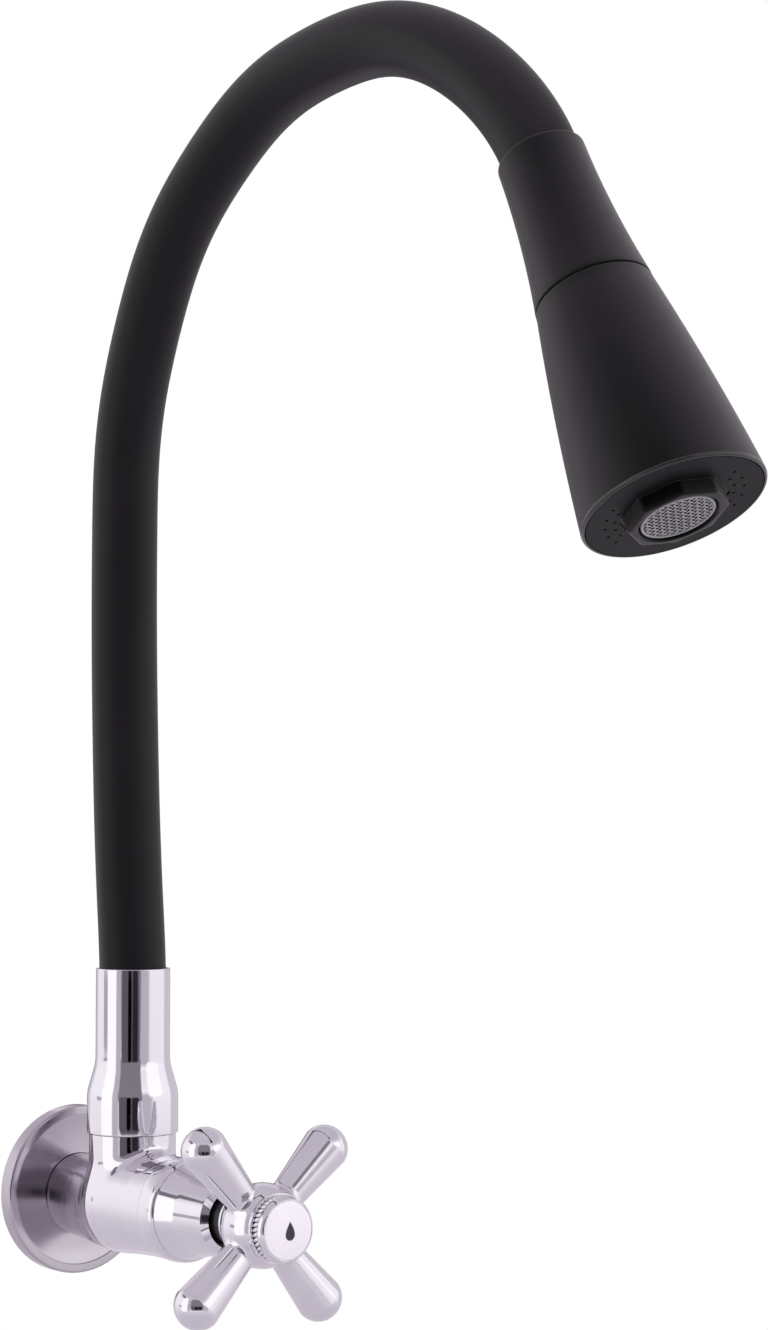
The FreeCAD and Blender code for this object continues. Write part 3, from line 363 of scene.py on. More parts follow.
@dataclass
class Casting:
    """A casting of groups of limbs, each group joined to those before it with a fillet.

    Each plane has a point on it and the side that is cut off.
    """

    groups: list[tuple[float, list[Limb]]]
    planes: list[tuple[Point, Point]]
    voxel: float = 0.5
    probe: float = 0.01
    smoothings: int = 3

    def distance(self, p: np.ndarray) -> np.ndarray:
        """The distance of points from the casting's surface."""
        total: Optional[np.ndarray] = None
        for fillet, limbs in self.groups:
            near = np.min([limb.distance(p) for limb in limbs], axis=0)
            total = near if total is None else soft_min(total, near, fillet)
        return total

    def settle(self, bm: Mesh, rounds: int) -> None:
        """Moves every vertex onto the casting's exact surface.

        Args:
            bm: The mesh, near the surface.
            rounds: How many steps are taken towards it.
        """
        p = np.array([v.co for v in bm.verts])
        for _ in range(rounds):
            slope = np.stack([
                (self.distance(p + self.probe * unit) - self.distance(p - self.probe * unit))
                / (2 * self.probe) for unit in np.eye(3)
            ], axis=1)
            p = p - slope * (self.distance(p) / np.maximum((slope ** 2).sum(1), TINY))[:, None]
        for v, co in zip(bm.verts, p):
            v.co = co

    def build(self) -> Mesh:
        """Fuses the limbs, settles the surface, and cuts the flat ends.

        Returns:
            The casting's mesh, in millimetres.
        """
        rough = merged([limb.mesh() for _, limbs in self.groups for limb in limbs])
        mesh = bpy.data.meshes.new("rough")
        rough.to_mesh(mesh)
        rough.free()
        obj = bpy.data.objects.new("rough", mesh)
        bpy.context.scene.collection.objects.link(obj)
        remesh = obj.modifiers.new("fuse", "REMESH")
        remesh.mode = "VOXEL"
        remesh.voxel_size = self.voxel
        graph = bpy.context.evaluated_depsgraph_get()
        fused = bpy.data.meshes.new_from_object(obj.evaluated_get(graph))
        bm = bmesh.new()
        bm.from_mesh(fused)
        bpy.data.objects.remove(obj)
        bpy.data.meshes.remove(fused)
        for _ in range(self.smoothings):
            bmesh.ops.smooth_vert(bm, verts=bm.verts, factor=0.5,
                                  use_axis_x=True, use_axis_y=True, use_axis_z=True)
            self.settle(bm, rounds=2)
        self.settle(bm, rounds=5)
        for point, outwards in self.planes:
            cut_flat(bm, point, outwards)
        bmesh.ops.recalc_face_normals(bm, faces=bm.faces)
        return bm


def cut_flat(bm: Mesh, point: Point, outwards: Point) -> None:
    """Cuts off what lies past a plane and closes the cut.

    Args:
        bm: The mesh to cut.
        point: A point of the plane.
        outwards: The side that is cut off.
    """
    made = bmesh.ops.bisect_plane(bm, geom=bm.verts[:] + bm.edges[:] + bm.faces[:], dist=1e-4,
                                  plane_co=point, plane_no=outwards, clear_outer=True)
    rim = [e for e in made["geom_cut"] if isinstance(e, bmesh.types.BMEdge)]
    bmesh.ops.holes_fill(bm, edges=rim, sides=0)


# Finishes

class Wiring:
    """Adds nodes to a shader tree and joins them."""

    def __init__(self, tree: Tree) -> None:
        """Takes the tree that the nodes go in."""
        self.nodes, self.links = tree.nodes, tree.links

    def feed(self, node: bpy.types.Node, inputs: Inputs) -> bpy.types.Node:
        """Gives a node's inputs their sockets or values.

        Args:
            node: The node.
            inputs: What each input gets.

        Returns:
            The node.
        """
        for name, value in inputs.items():
            if isinstance(value, bpy.types.NodeSocket):
                self.links.new(value, node.inputs[name])
            else:
                node.inputs[name].default_value = value
        return node

    def add(self, kind: str, inputs: Inputs) -> bpy.types.Node:
        """Adds a node with its inputs."""
        return self.feed(self.nodes.new(kind), inputs)

    def maths(self, operation: str, *values: Feed) -> Socket:
        """The result of a maths node on sockets or plain numbers."""
        node = self.nodes.new("ShaderNodeMath")
        node.operation = operation
        return self.feed(node, dict(enumerate(values))).outputs[0]

    def mixed(self, share: Feed, a: Feed, b: Feed, blend: str = "MIX") -> Socket:
        """The colour between two.

        Args:
            share: How much of the second there is.
            a: The first colour.
            b: The second colour.
            blend: How they are blended.

        Returns:
            The mixed colour.
        """
        node = self.nodes.new("ShaderNodeMix")
        node.data_type = "RGBA"
        node.blend_type = blend
        return self.feed(node, {"Factor": share, "A": a, "B": b}).outputs["Result"]

    def ranged(self, value: Socket, span: tuple[Feed, Feed], to: tuple[Feed, Feed] = (0.0, 1.0),
               soft: bool = False) -> Socket:
        """A value taken from one range to another.

        Args:
            value: The value.
            span: The range that it comes from.
            to: The range that it goes to.
            soft: Whether it eases in and out.

        Returns:
            The new value.
        """
        node = self.nodes.new("ShaderNodeMapRange")
        if soft:
            node.interpolation_type = "SMOOTHSTEP"
        self.feed(node, {"Value": value, "From Min": span[0], "From Max": span[1],
                         "To Min": to[0], "To Max": to[1]})
        return node.outputs["Result"]

    def group(self, tree: Tree, inputs: Inputs) -> bpy.types.Node:
        """Adds a shared group with its inputs."""
        node = self.nodes.new("ShaderNodeGroup")
        node.node_tree = tree
        return self.feed(node, inputs)


class Effect(Wiring):
    """A shader group with float sockets, and the Vector that its pattern is laid on."""

    def __init__(self, name: str, inputs: dict[str, float], outputs: Sequence[str]) -> None:
        """Makes the group, with nothing in it yet.

        Args:
            name: The group's name.
            inputs: The default of each float input.
            outputs: The names of the float outputs.
        """
        self.tree = bpy.data.node_groups.new(name, "ShaderNodeTree")
        super().__init__(self.tree)
        sockets = self.tree.interface
        sockets.new_socket("Vector", in_out="INPUT", socket_type="NodeSocketVector")
        for label, value in inputs.items():
            socket = sockets.new_socket(label, in_out="INPUT", socket_type="NodeSocketFloat")
            socket.default_value = value
        for label in outputs:
            sockets.new_socket(label, in_out="OUTPUT", socket_type="NodeSocketFloat")
        self.enter = self.nodes.new("NodeGroupInput").outputs
        self.leave = self.nodes.new("NodeGroupOutput")


def fine_grain() -> Tree:
    """The shared effect of fine grain: a height, and a value between Low and High."""
    effect = Effect("fine_grain", {"Scale": 900.0, "Low": 0.4, "High": 0.6}, ("Height", "Value"))
    enter = effect.enter
    fine = effect.add("ShaderNodeTexNoise", {"Vector": enter["Vector"], "Scale": enter["Scale"],
                                             "Detail": 3.0, "Roughness": 0.6}).outputs["Fac"]
    value = effect.ranged(fine, (0.3, 0.7), (enter["Low"], enter["High"]))
    effect.feed(effect.leave, {"Height": fine, "Value": value})
    return effect.tree


def handling_marks() -> Tree:
    """The shared effect of broad faint marks of wiping and handling, between Low and High."""
    effect = Effect("handling_marks", {"Scale": 40.0, "Low": 0.0, "High": 1.0}, ("Value",))
    enter = effect.enter
    broad = effect.add("ShaderNodeTexNoise", {"Vector": enter["Vector"], "Scale": enter["Scale"],
                                              "Detail": 4.0, "Distortion": 0.8}).outputs["Fac"]
    value = effect.ranged(broad, (0.35, 0.68), (enter["Low"], enter["High"]), soft=True)
    effect.feed(effect.leave, {"Value": value})
    return effect.tree


def new_material(name: str) -> tuple[bpy.types.Material, Wiring, bpy.types.Node]:
    """A new material with one Principled shader.

    Args:
        name: The material's name.

    Returns:
        The material, its wiring and the shader.
    """
    material = bpy.data.materials.new(name)
    material.use_nodes = True
    tree = material.node_tree
    return material, Wiring(tree), tree.nodes["Principled BSDF"]


class Pattern(Enum):
    """How a finish's relief is made. The value of a band is its scale and its direction."""

    GRAIN = None
    BRAID = (320.0, "DIAGONAL")
    TURNED = (1400.0, "Y")


@dataclass(frozen=True)
class Finish:
    """A surface finish: its two close colours, gloss, relief, metal, coat and painted sheen.

    The painted sheen is a paler tone painted into the colour where the surface turns away.
    painted_wall_shade is how much of its brightness the finish keeps close to the wall, as painted shade
    for the dark that the chrome reflects there; wall_dulling makes it rougher there, where the polish is
    poorer.
    """

    name: str
    low: Colour
    high: Colour
    roughness: Pair
    metallic: float = 0.0
    grain_scale: float = 900.0
    relief: float = 0.05
    relief_depth: float = 0.0002
    marks_scale: float = 40.0
    specular: float = 0.5
    coat: float = 0.0
    coat_roughness: float = 0.05
    # Painted sheen: the paler colour painted in where the surface turns away, and the facing value it
    # starts from
    painted_sheen: Optional[Colour] = None
    painted_sheen_from: float = 0.0
    # Painted shade close to the wall: the brightness kept there, the green it loses and where it starts
    painted_wall_shade: float = 1.0
    painted_shade_green: float = 0.95
    wall_dulling: float = 0.11
    wall_reach: Pair = (-0.021, -0.013)
    pattern: Pattern = Pattern.GRAIN

    def build(self, grain: Tree, marks: Tree) -> bpy.types.Material:
        """Builds the material.

        Args:
            grain: The shared effect of fine grain.
            marks: The shared effect of handling marks.

        Returns:
            The material.
        """
        material, wiring, shader = new_material(self.name)
        place = wiring.nodes.new("ShaderNodeTexCoord").outputs["Object"]
        share = wiring.group(marks, {"Vector": place, "Scale": self.marks_scale}).outputs["Value"]
        fine = wiring.group(grain, {"Vector": place, "Scale": self.grain_scale,
                                    "Low": self.roughness[0], "High": self.roughness[1]}).outputs
        tone = self._with_painted_sheen(wiring, wiring.mixed(share, (*self.low, 1.0), (*self.high, 1.0)))
        tone, gloss = self._with_painted_wall_shade(wiring, place, tone, fine["Value"])
        bump = wiring.add("ShaderNodeBump", {"Strength": self.relief, "Distance": self.relief_depth,
                                             "Height": self._height(wiring, place, fine["Height"])})
        wiring.feed(shader, {
            "Base Color": tone, "Roughness": gloss, "Normal": bump.outputs["Normal"],
            "Metallic": self.metallic, "Specular IOR Level": self.specular,
            "Coat Weight": self.coat, "Coat Roughness": self.coat_roughness,
        })
        return material

    def _with_painted_sheen(self, wiring: Wiring, colour: Socket) -> Socket:
        """The colour with this finish's painted sheen, a paler tone by the facing angle, where it has
        one.
        """
        if self.painted_sheen is None:
            return colour
        # Painted sheen: Layer Weight's facing mixes a paler colour into the base colour
        turn = wiring.nodes.new("ShaderNodeLayerWeight").outputs["Facing"]
        return wiring.mixed(wiring.ranged(turn, (self.painted_sheen_from, 1.0)), colour, (*self.painted_sheen, 1.0))

    def _with_painted_wall_shade(self, wiring: Wiring, place: Socket, colour: Socket,
                     gloss: Socket) -> tuple[Socket, Socket]:
        """The colour with painted shade close to the wall, and the roughness, duller there.

        Args:
            wiring: The material's wiring.
            place: The object coordinates.
            colour: The colour away from the wall.
            gloss: The roughness away from the wall.

        Returns:
            The colour and the roughness.
        """
        if self.painted_wall_shade == 1.0:
            return colour, gloss
        split = wiring.add("ShaderNodeSeparateXYZ", {0: place})
        near = wiring.ranged(split.outputs["Y"], self.wall_reach, soft=True)
        # Painted shade: the colour is multiplied darker near the wall
        painted_shade = (self.painted_wall_shade, self.painted_wall_shade * self.painted_shade_green, self.painted_wall_shade, 1.0)
        return (wiring.mixed(near, colour, painted_shade, "MULTIPLY"),
                wiring.maths("MULTIPLY_ADD", near, self.wall_dulling, gloss))

    def _height(self, wiring: Wiring, place: Socket, grain: Socket) -> Socket:
        """The height of this finish's relief."""
        if self.pattern is Pattern.GRAIN:
            return grain
        scale, direction = self.pattern.value
        wave = wiring.add("ShaderNodeTexWave", {"Vector": place, "Scale": scale, "Distortion": 0.4})
        wave.bands_direction = direction
        return wave.outputs["Fac"]


CHROME = Finish("chrome_spout", (0.80, 0.775, 0.82), (0.83, 0.81, 0.85), (0.045, 0.075), metallic=1.0,
                grain_scale=600.0, relief=0.02)
FINISHES: dict[str, Finish] = {finish.name: finish for finish in (
    CHROME,
    # The body's chrome carries painted shade close to the wall
    replace(CHROME, name="chrome_body", painted_wall_shade=0.66),
    replace(CHROME, name="chrome_handle", roughness=(0.06, 0.09)),
    Finish("bead_metal", (0.86, 0.84, 0.88), (0.90, 0.88, 0.92), (0.10, 0.16), metallic=1.0,
           grain_scale=700.0, relief=0.03),
    Finish("index_face", (0.94, 0.88, 0.97), (0.97, 0.91, 0.99), (0.18, 0.26), coat=0.8, relief=0.01),
    Finish("ink", (0.02, 0.018, 0.025), (0.03, 0.028, 0.035), (0.3, 0.4)),
    Finish("black_trim", (0.006, 0.006, 0.008), (0.010, 0.009, 0.012), (0.30, 0.42)),
    Finish("brass", (0.62, 0.46, 0.20), (0.72, 0.55, 0.27), (0.22, 0.34), metallic=1.0, relief=0.04,
           pattern=Pattern.TURNED),
    Finish("steel", (0.50, 0.50, 0.52), (0.60, 0.60, 0.62), (0.24, 0.36), metallic=1.0, relief=0.04,
           pattern=Pattern.TURNED),
    Finish("rubber", (0.012, 0.012, 0.012), (0.020, 0.020, 0.020), (0.55, 0.7)),
    Finish("fibre", (0.30, 0.16, 0.09), (0.38, 0.22, 0.12), (0.7, 0.85), relief=0.25),
    Finish("ceramic", (0.80, 0.79, 0.75), (0.86, 0.85, 0.82), (0.12, 0.2), coat=0.3),
    Finish("white_plastic", (0.70, 0.70, 0.67), (0.76, 0.76, 0.73), (0.4, 0.5)),
    Finish("hose_silicone", (0.0086, 0.0075, 0.0086), (0.0106, 0.0093, 0.0106), (0.36, 0.42),
           grain_scale=1500.0, relief=0.08, relief_depth=0.00006, marks_scale=14.0, specular=0.15,
           # painted sheen: a paler colour painted in where the hose turns away
           painted_sheen=(0.031, 0.0284, 0.031), painted_sheen_from=0.10),
    Finish("hose_core", (0.03, 0.03, 0.033), (0.07, 0.07, 0.075), (0.5, 0.65), relief=0.5,
           relief_depth=0.0004, pattern=Pattern.BRAID),
    Finish("water_tube", (0.30, 0.32, 0.34), (0.36, 0.38, 0.40), (0.35, 0.45)),
    Finish("head_black", (0.0032, 0.0028, 0.0032), (0.0046, 0.0040, 0.0046), (0.34, 0.40),
           grain_scale=2200.0, relief=0.10, relief_depth=0.00006, marks_scale=18.0, specular=0.08,
           # painted sheen: a paler colour painted in where the head turns away
           coat=0.05, coat_roughness=0.14, painted_sheen=(0.110, 0.1000, 0.110), painted_sheen_from=0.14),
    Finish("lip_black", (0.010, 0.009, 0.010), (0.014, 0.0125, 0.014), (0.20, 0.26),
           grain_scale=2200.0, specular=0.4, coat=0.6, coat_roughness=0.10),
    Finish("face_black", (0.006, 0.0052, 0.006), (0.009, 0.008, 0.009), (0.34, 0.42),
           grain_scale=2000.0, relief=0.10, relief_depth=0.00006, marks_scale=30.0, specular=0.12),
    Finish("aerator_grey", (0.30, 0.295, 0.31), (0.36, 0.355, 0.37), (0.3, 0.4)),
    Finish("net_metal", (0.44, 0.43, 0.45), (0.52, 0.51, 0.53), (0.25, 0.35), metallic=1.0),
)}


class Workshop:
    """Builds each finish once, and makes dressed pieces with them."""

    def __init__(self) -> None:
        """Builds the shared effects."""
        self.grain = fine_grain()
        self.marks = handling_marks()
        self.made: dict[str, bpy.types.Material] = {}

    def finish(self, name: str) -> bpy.types.Material:
        """The material of a finish, built when it is first asked for."""
        if name not in self.made:
            self.made[name] = FINISHES[name].build(self.grain, self.marks)
        return self.made[name]

    def add(self, name: str, bm: Mesh, body: str, slot: str, *nodes: str, on: Optional[Axis] = None,
            sharp: float = 32.0, finish: Optional[str] = None) -> None:
        """Makes a finished piece and puts it on a body in place of CAD nodes.

        Args:
            name: The piece's name.
            bm: Its mesh, in millimetres.
            body: The body that it rides on.
            slot: The record's material slot.
            nodes: The nodes that it stands for.
            on: The axis that the mesh was built for, where it isn't in place yet.
            sharp: Edges sharper than this many degrees stay sharp in the shading.
            finish: Its finish, where that isn't the one named as the slot.
        """
        if on is not None:
            move(bm, on.matrix())
        obj = piece(name, bm, self.finish(finish or slot), sharp)
        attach(obj, body)
        if nodes:
            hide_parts(*nodes)

    def dress_nodes(self) -> None:
        """Gives every CAD node that still shows the finish of its slot."""
        slots = {s["node"]: s["material_slot"] for s in frame["record"]["subparts"]}
        for name, obj in frame["nodes"].items():
            if obj.hide_render:
                continue
            obj.data.materials.clear()
            obj.data.materials.append(self.finish(slots[name]))


# Flange, inlet and body

@dataclass
class WallMount:
    """The hollow wall flange and the threaded inlet behind it."""

    rim_r: float = 28.0
    rim_width: float = 3.2
    rim_round: float = 0.9
    rim_flat: float = 0.5
    depth: float = 5.6
    wall: float = 1.6
    groove: float = 0.4
    groove_width: float = 0.3
    groove_round: float = 0.15
    dish: float = 1.7
    dish_share: float = 0.8
    hole_r: float = 13.0
    hole_drop: float = 0.9
    bore_r: float = 6.5
    thread_r: float = 10.48
    thread_depth: float = 1.1
    thread_length: float = 14.0
    pitch: float = 1.81
    crest: Pair = (0.45, 0.55)
    nose: float = 1.2
    shoulder_r: float = 12.0
    shoulder: Pair = (0.4, 2.0)
    tail_r: float = 9.4
    tail_end: float = 14.0

    def build(self, shop: Workshop) -> None:
        """Builds the flange and the inlet."""
        shop.add("flange_plate", self.flange(), "valve_body", "chrome_body", "wall_flange",
                 on=VALVE, sharp=24)
        shop.add("inlet_thread", self.inlet(), "valve_body", "brass", "inlet_nipple", on=VALVE)

    def flange(self) -> Mesh:
        """The dished plate, with a rounded rim and a fine groove inside it."""
        land = self.rim_r - self.rim_width
        inner = self.rim_r - self.wall
        floor = self.depth - self.groove
        centre = self.depth - self.dish
        middle_r, middle = (land + self.hole_r) / 2, self.depth - self.dish * self.dish_share
        outline = Profile((inner, 0.0), (self.rim_r, 0.0))
        outline.round_to((self.rim_r, self.depth), (land + self.rim_flat, self.depth), self.rim_round, 8)
        outline.round_to((land + self.groove_width, self.depth), (land + self.groove_round, floor),
                         self.groove_round)
        outline.to((land, floor)).arc((middle_r, middle), (self.hole_r, centre), 24)
        outline.to((self.hole_r, centre - self.wall))
        outline.arc((middle_r, middle - self.wall), (land, floor - self.wall), 16)
        bm = outline.to((inner, floor - self.wall)).turn(192)
        for v in bm.verts:
            share = (land - math.hypot(v.co.x, v.co.y)) / (land - self.hole_r)
            v.co.y -= self.hole_drop * min(1.0, max(0.0, share))
        return bm

    def inlet(self) -> Mesh:
        """The inlet's bore, shoulder and male thread."""
        root_r = self.thread_r - self.thread_depth
        start = self.nose - self.thread_length
        outline = Profile((self.bore_r, -self.thread_length),
                          (self.thread_r - self.nose, -self.thread_length), (root_r, start))
        for i in range(int((self.thread_length - self.nose) / self.pitch)):
            base = start + i * self.pitch
            outline.to(*((self.thread_r, base + share * self.pitch) for share in self.crest))
            outline.to((root_r, base + self.pitch))
        back, front = self.shoulder
        outline.to((root_r, back), (self.shoulder_r, back), (self.shoulder_r, front),
                   (self.tail_r, front), (self.tail_r, self.tail_end), (self.bore_r, self.tail_end))
        return outline.turn(96)


@dataclass
class TapBody:
    """The one-piece body: shank, ball, upright neck and barrel with its turned rim.

    The shank is a run of points, each a station, how far it hangs below the axis, and a radius.
    """

    shank: tuple[Point, ...] = (
        (1.0, 0.9, 12.8), (4.4, 0.9, 12.8), (7.6, 1.75, 13.2), (16.0, 2.45, 13.5),
        (25.6, 3.3, 13.8), (32.0, 3.5, 14.0), (44.0, 1.8, 13.8))
    shank_start: float = 2.05
    shank_fillet: float = 1.6
    ball_r: float = 17.1
    neck_r: float = 14.25
    neck_top: float = 21.7
    neck_fillet: float = 2.8
    neck_reach: float = 40.0
    waist_r: float = 16.15
    waist: float = 56.0
    barrel_reach: float = 80.0
    bore_r: float = 13.7
    rim_start: float = 64.0
    rim_overlap: float = 1.0
    line_width: float = 0.2
    line_depth: float = 0.35
    edge: tuple[Pair, Pair] = ((0.15, 0.0), (0.17, 0.5))
    edge_round: float = 0.12
    swell: tuple[Pair, Pair] = ((16.4, 67.0), (16.25, 69.5))
    curl: Pair = (15.95, 70.85)
    front_r: float = 15.3
    front: float = 71.7

    def build(self, shop: Workshop) -> None:
        """Builds the casting and the turned rim at its front."""
        shop.add("body_casting", self.casting(), "valve_body", "chrome_body", "tap_body", sharp=50)
        shop.add("body_rim", self.rim(), "valve_body", "chrome_body", "tap_body", on=VALVE, sharp=24)

    def casting(self) -> Mesh:
        """The casting, with its limbs flowing into each other."""
        heart = (0.0, SPOUT.y, 0.0)
        waist = (0.0, -self.waist, 0.0)
        barrel_end = (0.0, -self.barrel_reach, 0.0)
        neck_end = (0.0, SPOUT.y, self.neck_reach)
        run = [((0.0, -station, -drop), radius) for station, drop, radius in self.shank]
        return Casting([
            (0.0, [Limb(heart, heart, self.ball_r, self.ball_r),
                   Limb(heart, waist, self.ball_r, self.waist_r),
                   Limb(waist, barrel_end, self.waist_r, self.waist_r)]),
            (self.shank_fillet, [Limb(a, b, a_r, b_r) for (a, a_r), (b, b_r) in zip(run, run[1:])]),
            (self.neck_fillet, [Limb(heart, neck_end, self.neck_r, self.neck_r)]),
        ], [
            ((0, 0, self.neck_top), UP),
            ((0, -self.shank_start, 0), BACKWARDS),
            ((0, -self.rim_start, 0), FORWARDS),
        ]).build()

    def rim(self) -> Mesh:
        """The turned rim that the barrel ends in, with a fine line behind it."""
        back, line = self.rim_start - self.rim_overlap, self.rim_start + self.line_width
        root_r = self.waist_r - self.line_depth
        corner, end = ((self.waist_r + proud, line + past) for proud, past in self.edge)
        outline = Profile((self.bore_r, back), (root_r, back), (root_r, line))
        outline.round_to(corner, end, self.edge_round).arc(*self.swell, 8)
        outline.arc(self.curl, (self.front_r, self.front), 10)
        return outline.to((self.bore_r, self.front)).turn(160)


@dataclass
class Bonnet:
    """The chrome sleeve over the cartridge and the black ring in its mouth."""

    tail_bore_r: float = 11.6
    tail_r: float = 13.6
    tail: float = 65.7
    start_r: float = 15.25
    start: float = 71.8
    edge: tuple[Pair, Pair] = ((0.0, 0.0), (-0.1, 0.4))
    edge_round: float = 0.12
    shoulder: tuple[Pair, Pair] = ((14.25, 75.4), (13.1, 79.7))
    taper: tuple[Pair, Pair] = ((12.3, 85.0), (11.4, 91.5))
    bevel: tuple[Pair, Pair] = ((11.38, 91.6), (9.1, 93.0))
    bevel_round: float = 0.08
    recess_r: float = 9.0
    mouth: float = 92.95
    floor: float = 79.0
    gland_r: float = 8.55
    gland: float = 70.0
    ring_bore_r: float = 4.6
    ring_r: float = 7.9
    ring_foot_r: float = 8.95
    ring_start: float = 87.0
    ring_step: float = 90.0
    ring_end: float = 97.2
    ring_round: float = 0.5

    def build(self, shop: Workshop) -> None:
        """Builds the sleeve and the ring."""
        shop.add("bonnet_skin", self.sleeve(), "valve_body", "chrome_body", "bonnet_sleeve",
                 on=VALVE, sharp=24)
        shop.add("bonnet_mouth_ring", self.ring(), "valve_body", "black_trim", "bonnet_ring",
                 on=VALVE, sharp=40)

    def sleeve(self) -> Mesh:
        """The sleeve, from the body's rim to its bevelled mouth."""
        corner, end = ((self.start_r + proud, self.start + past) for proud, past in self.edge)
        outline = Profile((self.tail_bore_r, self.tail), (self.tail_r, self.tail),
                          (self.tail_r, self.start))
        outline.round_to(corner, end, self.edge_round).arc(*self.shoulder, 14).arc(*self.taper, 14)
        outline.round_to(*self.bevel, self.bevel_round)
        outline.to((self.recess_r, self.mouth), (self.recess_r, self.floor),
                   (self.gland_r, self.floor), (self.gland_r, self.gland), (self.tail_bore_r, self.gland))
        return outline.turn(160)

    def ring(self) -> Mesh:
        """The ring that fills the mouth round the spindle."""
        outline = Profile((self.ring_bore_r, self.ring_start), (self.ring_foot_r, self.ring_start),
                          (self.ring_foot_r, self.ring_step), (self.ring_r, self.ring_step))
        outline.round_to((self.ring_r, self.ring_end), (self.ring_bore_r, self.ring_end),
                         self.ring_round, 6)
        return outline.turn(96)


# Handle

@dataclass
class CrossHandle:
    """The cross handle: a hub with a rear skirt, a turned collar and four teardrop arms."""

    station: float = 108.8
    hub_r: float = 13.0
    skirt_r: float = 8.8
    skirt_start: float = 97.9
    skirt_reach: float = 90.0
    arm_fillet: float = 1.6
    arm_angle: float = 42.0
    tip_r: float = 7.4
    tip_radius: float = 32.2
    root_r: float = 5.0
    root_radius: float = 9.0
    face: float = 117.2
    face_cut: float = 0.4
    collar_r: float = 10.8
    collar_foot_r: float = 9.8
    collar_depth: float = 3.0
    collar_edge: float = 1.6
    collar_round: float = 0.3
    collar_inner_r: float = 9.0

    def build(self, shop: Workshop) -> None:
        """Builds the handle."""
        casting = merged([self.casting(), move(self.collar(), VALVE.matrix())])
        shop.add("handle_casting", casting, "valve_stem", "chrome_handle", "cross_handle", sharp=40)

    def casting(self) -> Mesh:
        """The hub with its skirt and four teardrop arms."""
        centre = (0.0, -self.station, 0.0)
        skirt_end = (0.0, -self.skirt_reach, 0.0)
        return Casting([
            (0.0, [Limb(centre, centre, self.hub_r, self.hub_r),
                   Limb(centre, skirt_end, self.skirt_r, self.skirt_r)]),
            (self.arm_fillet, [self.arm(self.arm_angle + 90 * i) for i in range(4)]),
        ], [
            ((0, self.face_cut - self.face, 0), FORWARDS),
            ((0, -self.skirt_start, 0), BACKWARDS),
        ]).build()

    def arm(self, angle: float) -> Limb:
        """One teardrop arm, its angle taken from +X towards +Z."""
        turn = math.radians(angle)
        root, tip = ((radius * math.cos(turn), -self.station, radius * math.sin(turn))
                     for radius in (self.root_radius, self.tip_radius))
        return Limb(root, tip, self.root_r, self.tip_r)

    def collar(self) -> Mesh:
        """The turned collar at the front of the hub."""
        back = self.face - self.collar_depth
        outline = Profile((0, back), (self.collar_foot_r, back),
                          (self.collar_r, self.face - self.collar_edge))
        outline.round_to((self.collar_r, self.face), (self.collar_inner_r, self.face),
                         self.collar_round, 5)
        return outline.to((0, self.face)).turn(128)


@dataclass
class RopeRing:
    """The ring between the hub and the cap, with a rope of slanting beads round it over a dark ring of
    painted shade.
    """

    radius: float = 10.4
    start: float = 117.28
    end: float = 119.85
    beads: int = 41
    bead_thick: float = 0.75
    bead_wide: float = 0.66
    overlap: float = 0.3
    lean: float = 24.0
    # The dark ring of painted shade under the beads
    core_r: float = 9.8
    core_bore_r: float = 9.25

    def build(self, shop: Workshop) -> None:
        """Builds the beads and the dark ring of painted shade between them."""
        shop.add("rope_ring", self.rope(), "valve_stem", "bead_metal", "bead_ring", sharp=60)
        # Painted shade: a black ring under the beads stands in for the shade in the gaps
        shop.add("rope_shade_ring", self.core(), "valve_stem", "bead_metal", on=VALVE, sharp=40,
                 finish="black_trim")

    def rope(self) -> Mesh:
        """The rope of beads, flat where it meets the hub and the cap."""
        half = (self.end - self.start) / 2 + self.overlap
        size = Matrix.Diagonal((self.bead_thick, self.bead_wide, half, 1.0))
        lean = Matrix.Rotation(math.radians(self.lean), 4, "X")
        out = Matrix.Translation((self.radius - self.bead_thick, 0, (self.start + self.end) / 2))
        parts = []
        for i in range(self.beads):
            bead = bmesh.new()
            bmesh.ops.create_uvsphere(bead, u_segments=14, v_segments=10, radius=1.0)
            spin = Matrix.Rotation(FULL_TURN * i / self.beads, 4, "Z")
            parts.append(move(bead, VALVE.matrix() @ spin @ out @ lean @ size))
        bm = merged(parts)
        for v in bm.verts:
            v.co.y = min(-self.start, max(-self.end, v.co.y))
        return bm

    def core(self) -> Mesh:
        """A dark ring put under the beads as painted shade for the deep gaps of the rope."""
        return Profile((self.core_bore_r, self.start), (self.core_r, self.start),
                       (self.core_r, self.end), (self.core_bore_r, self.end)).turn(96)


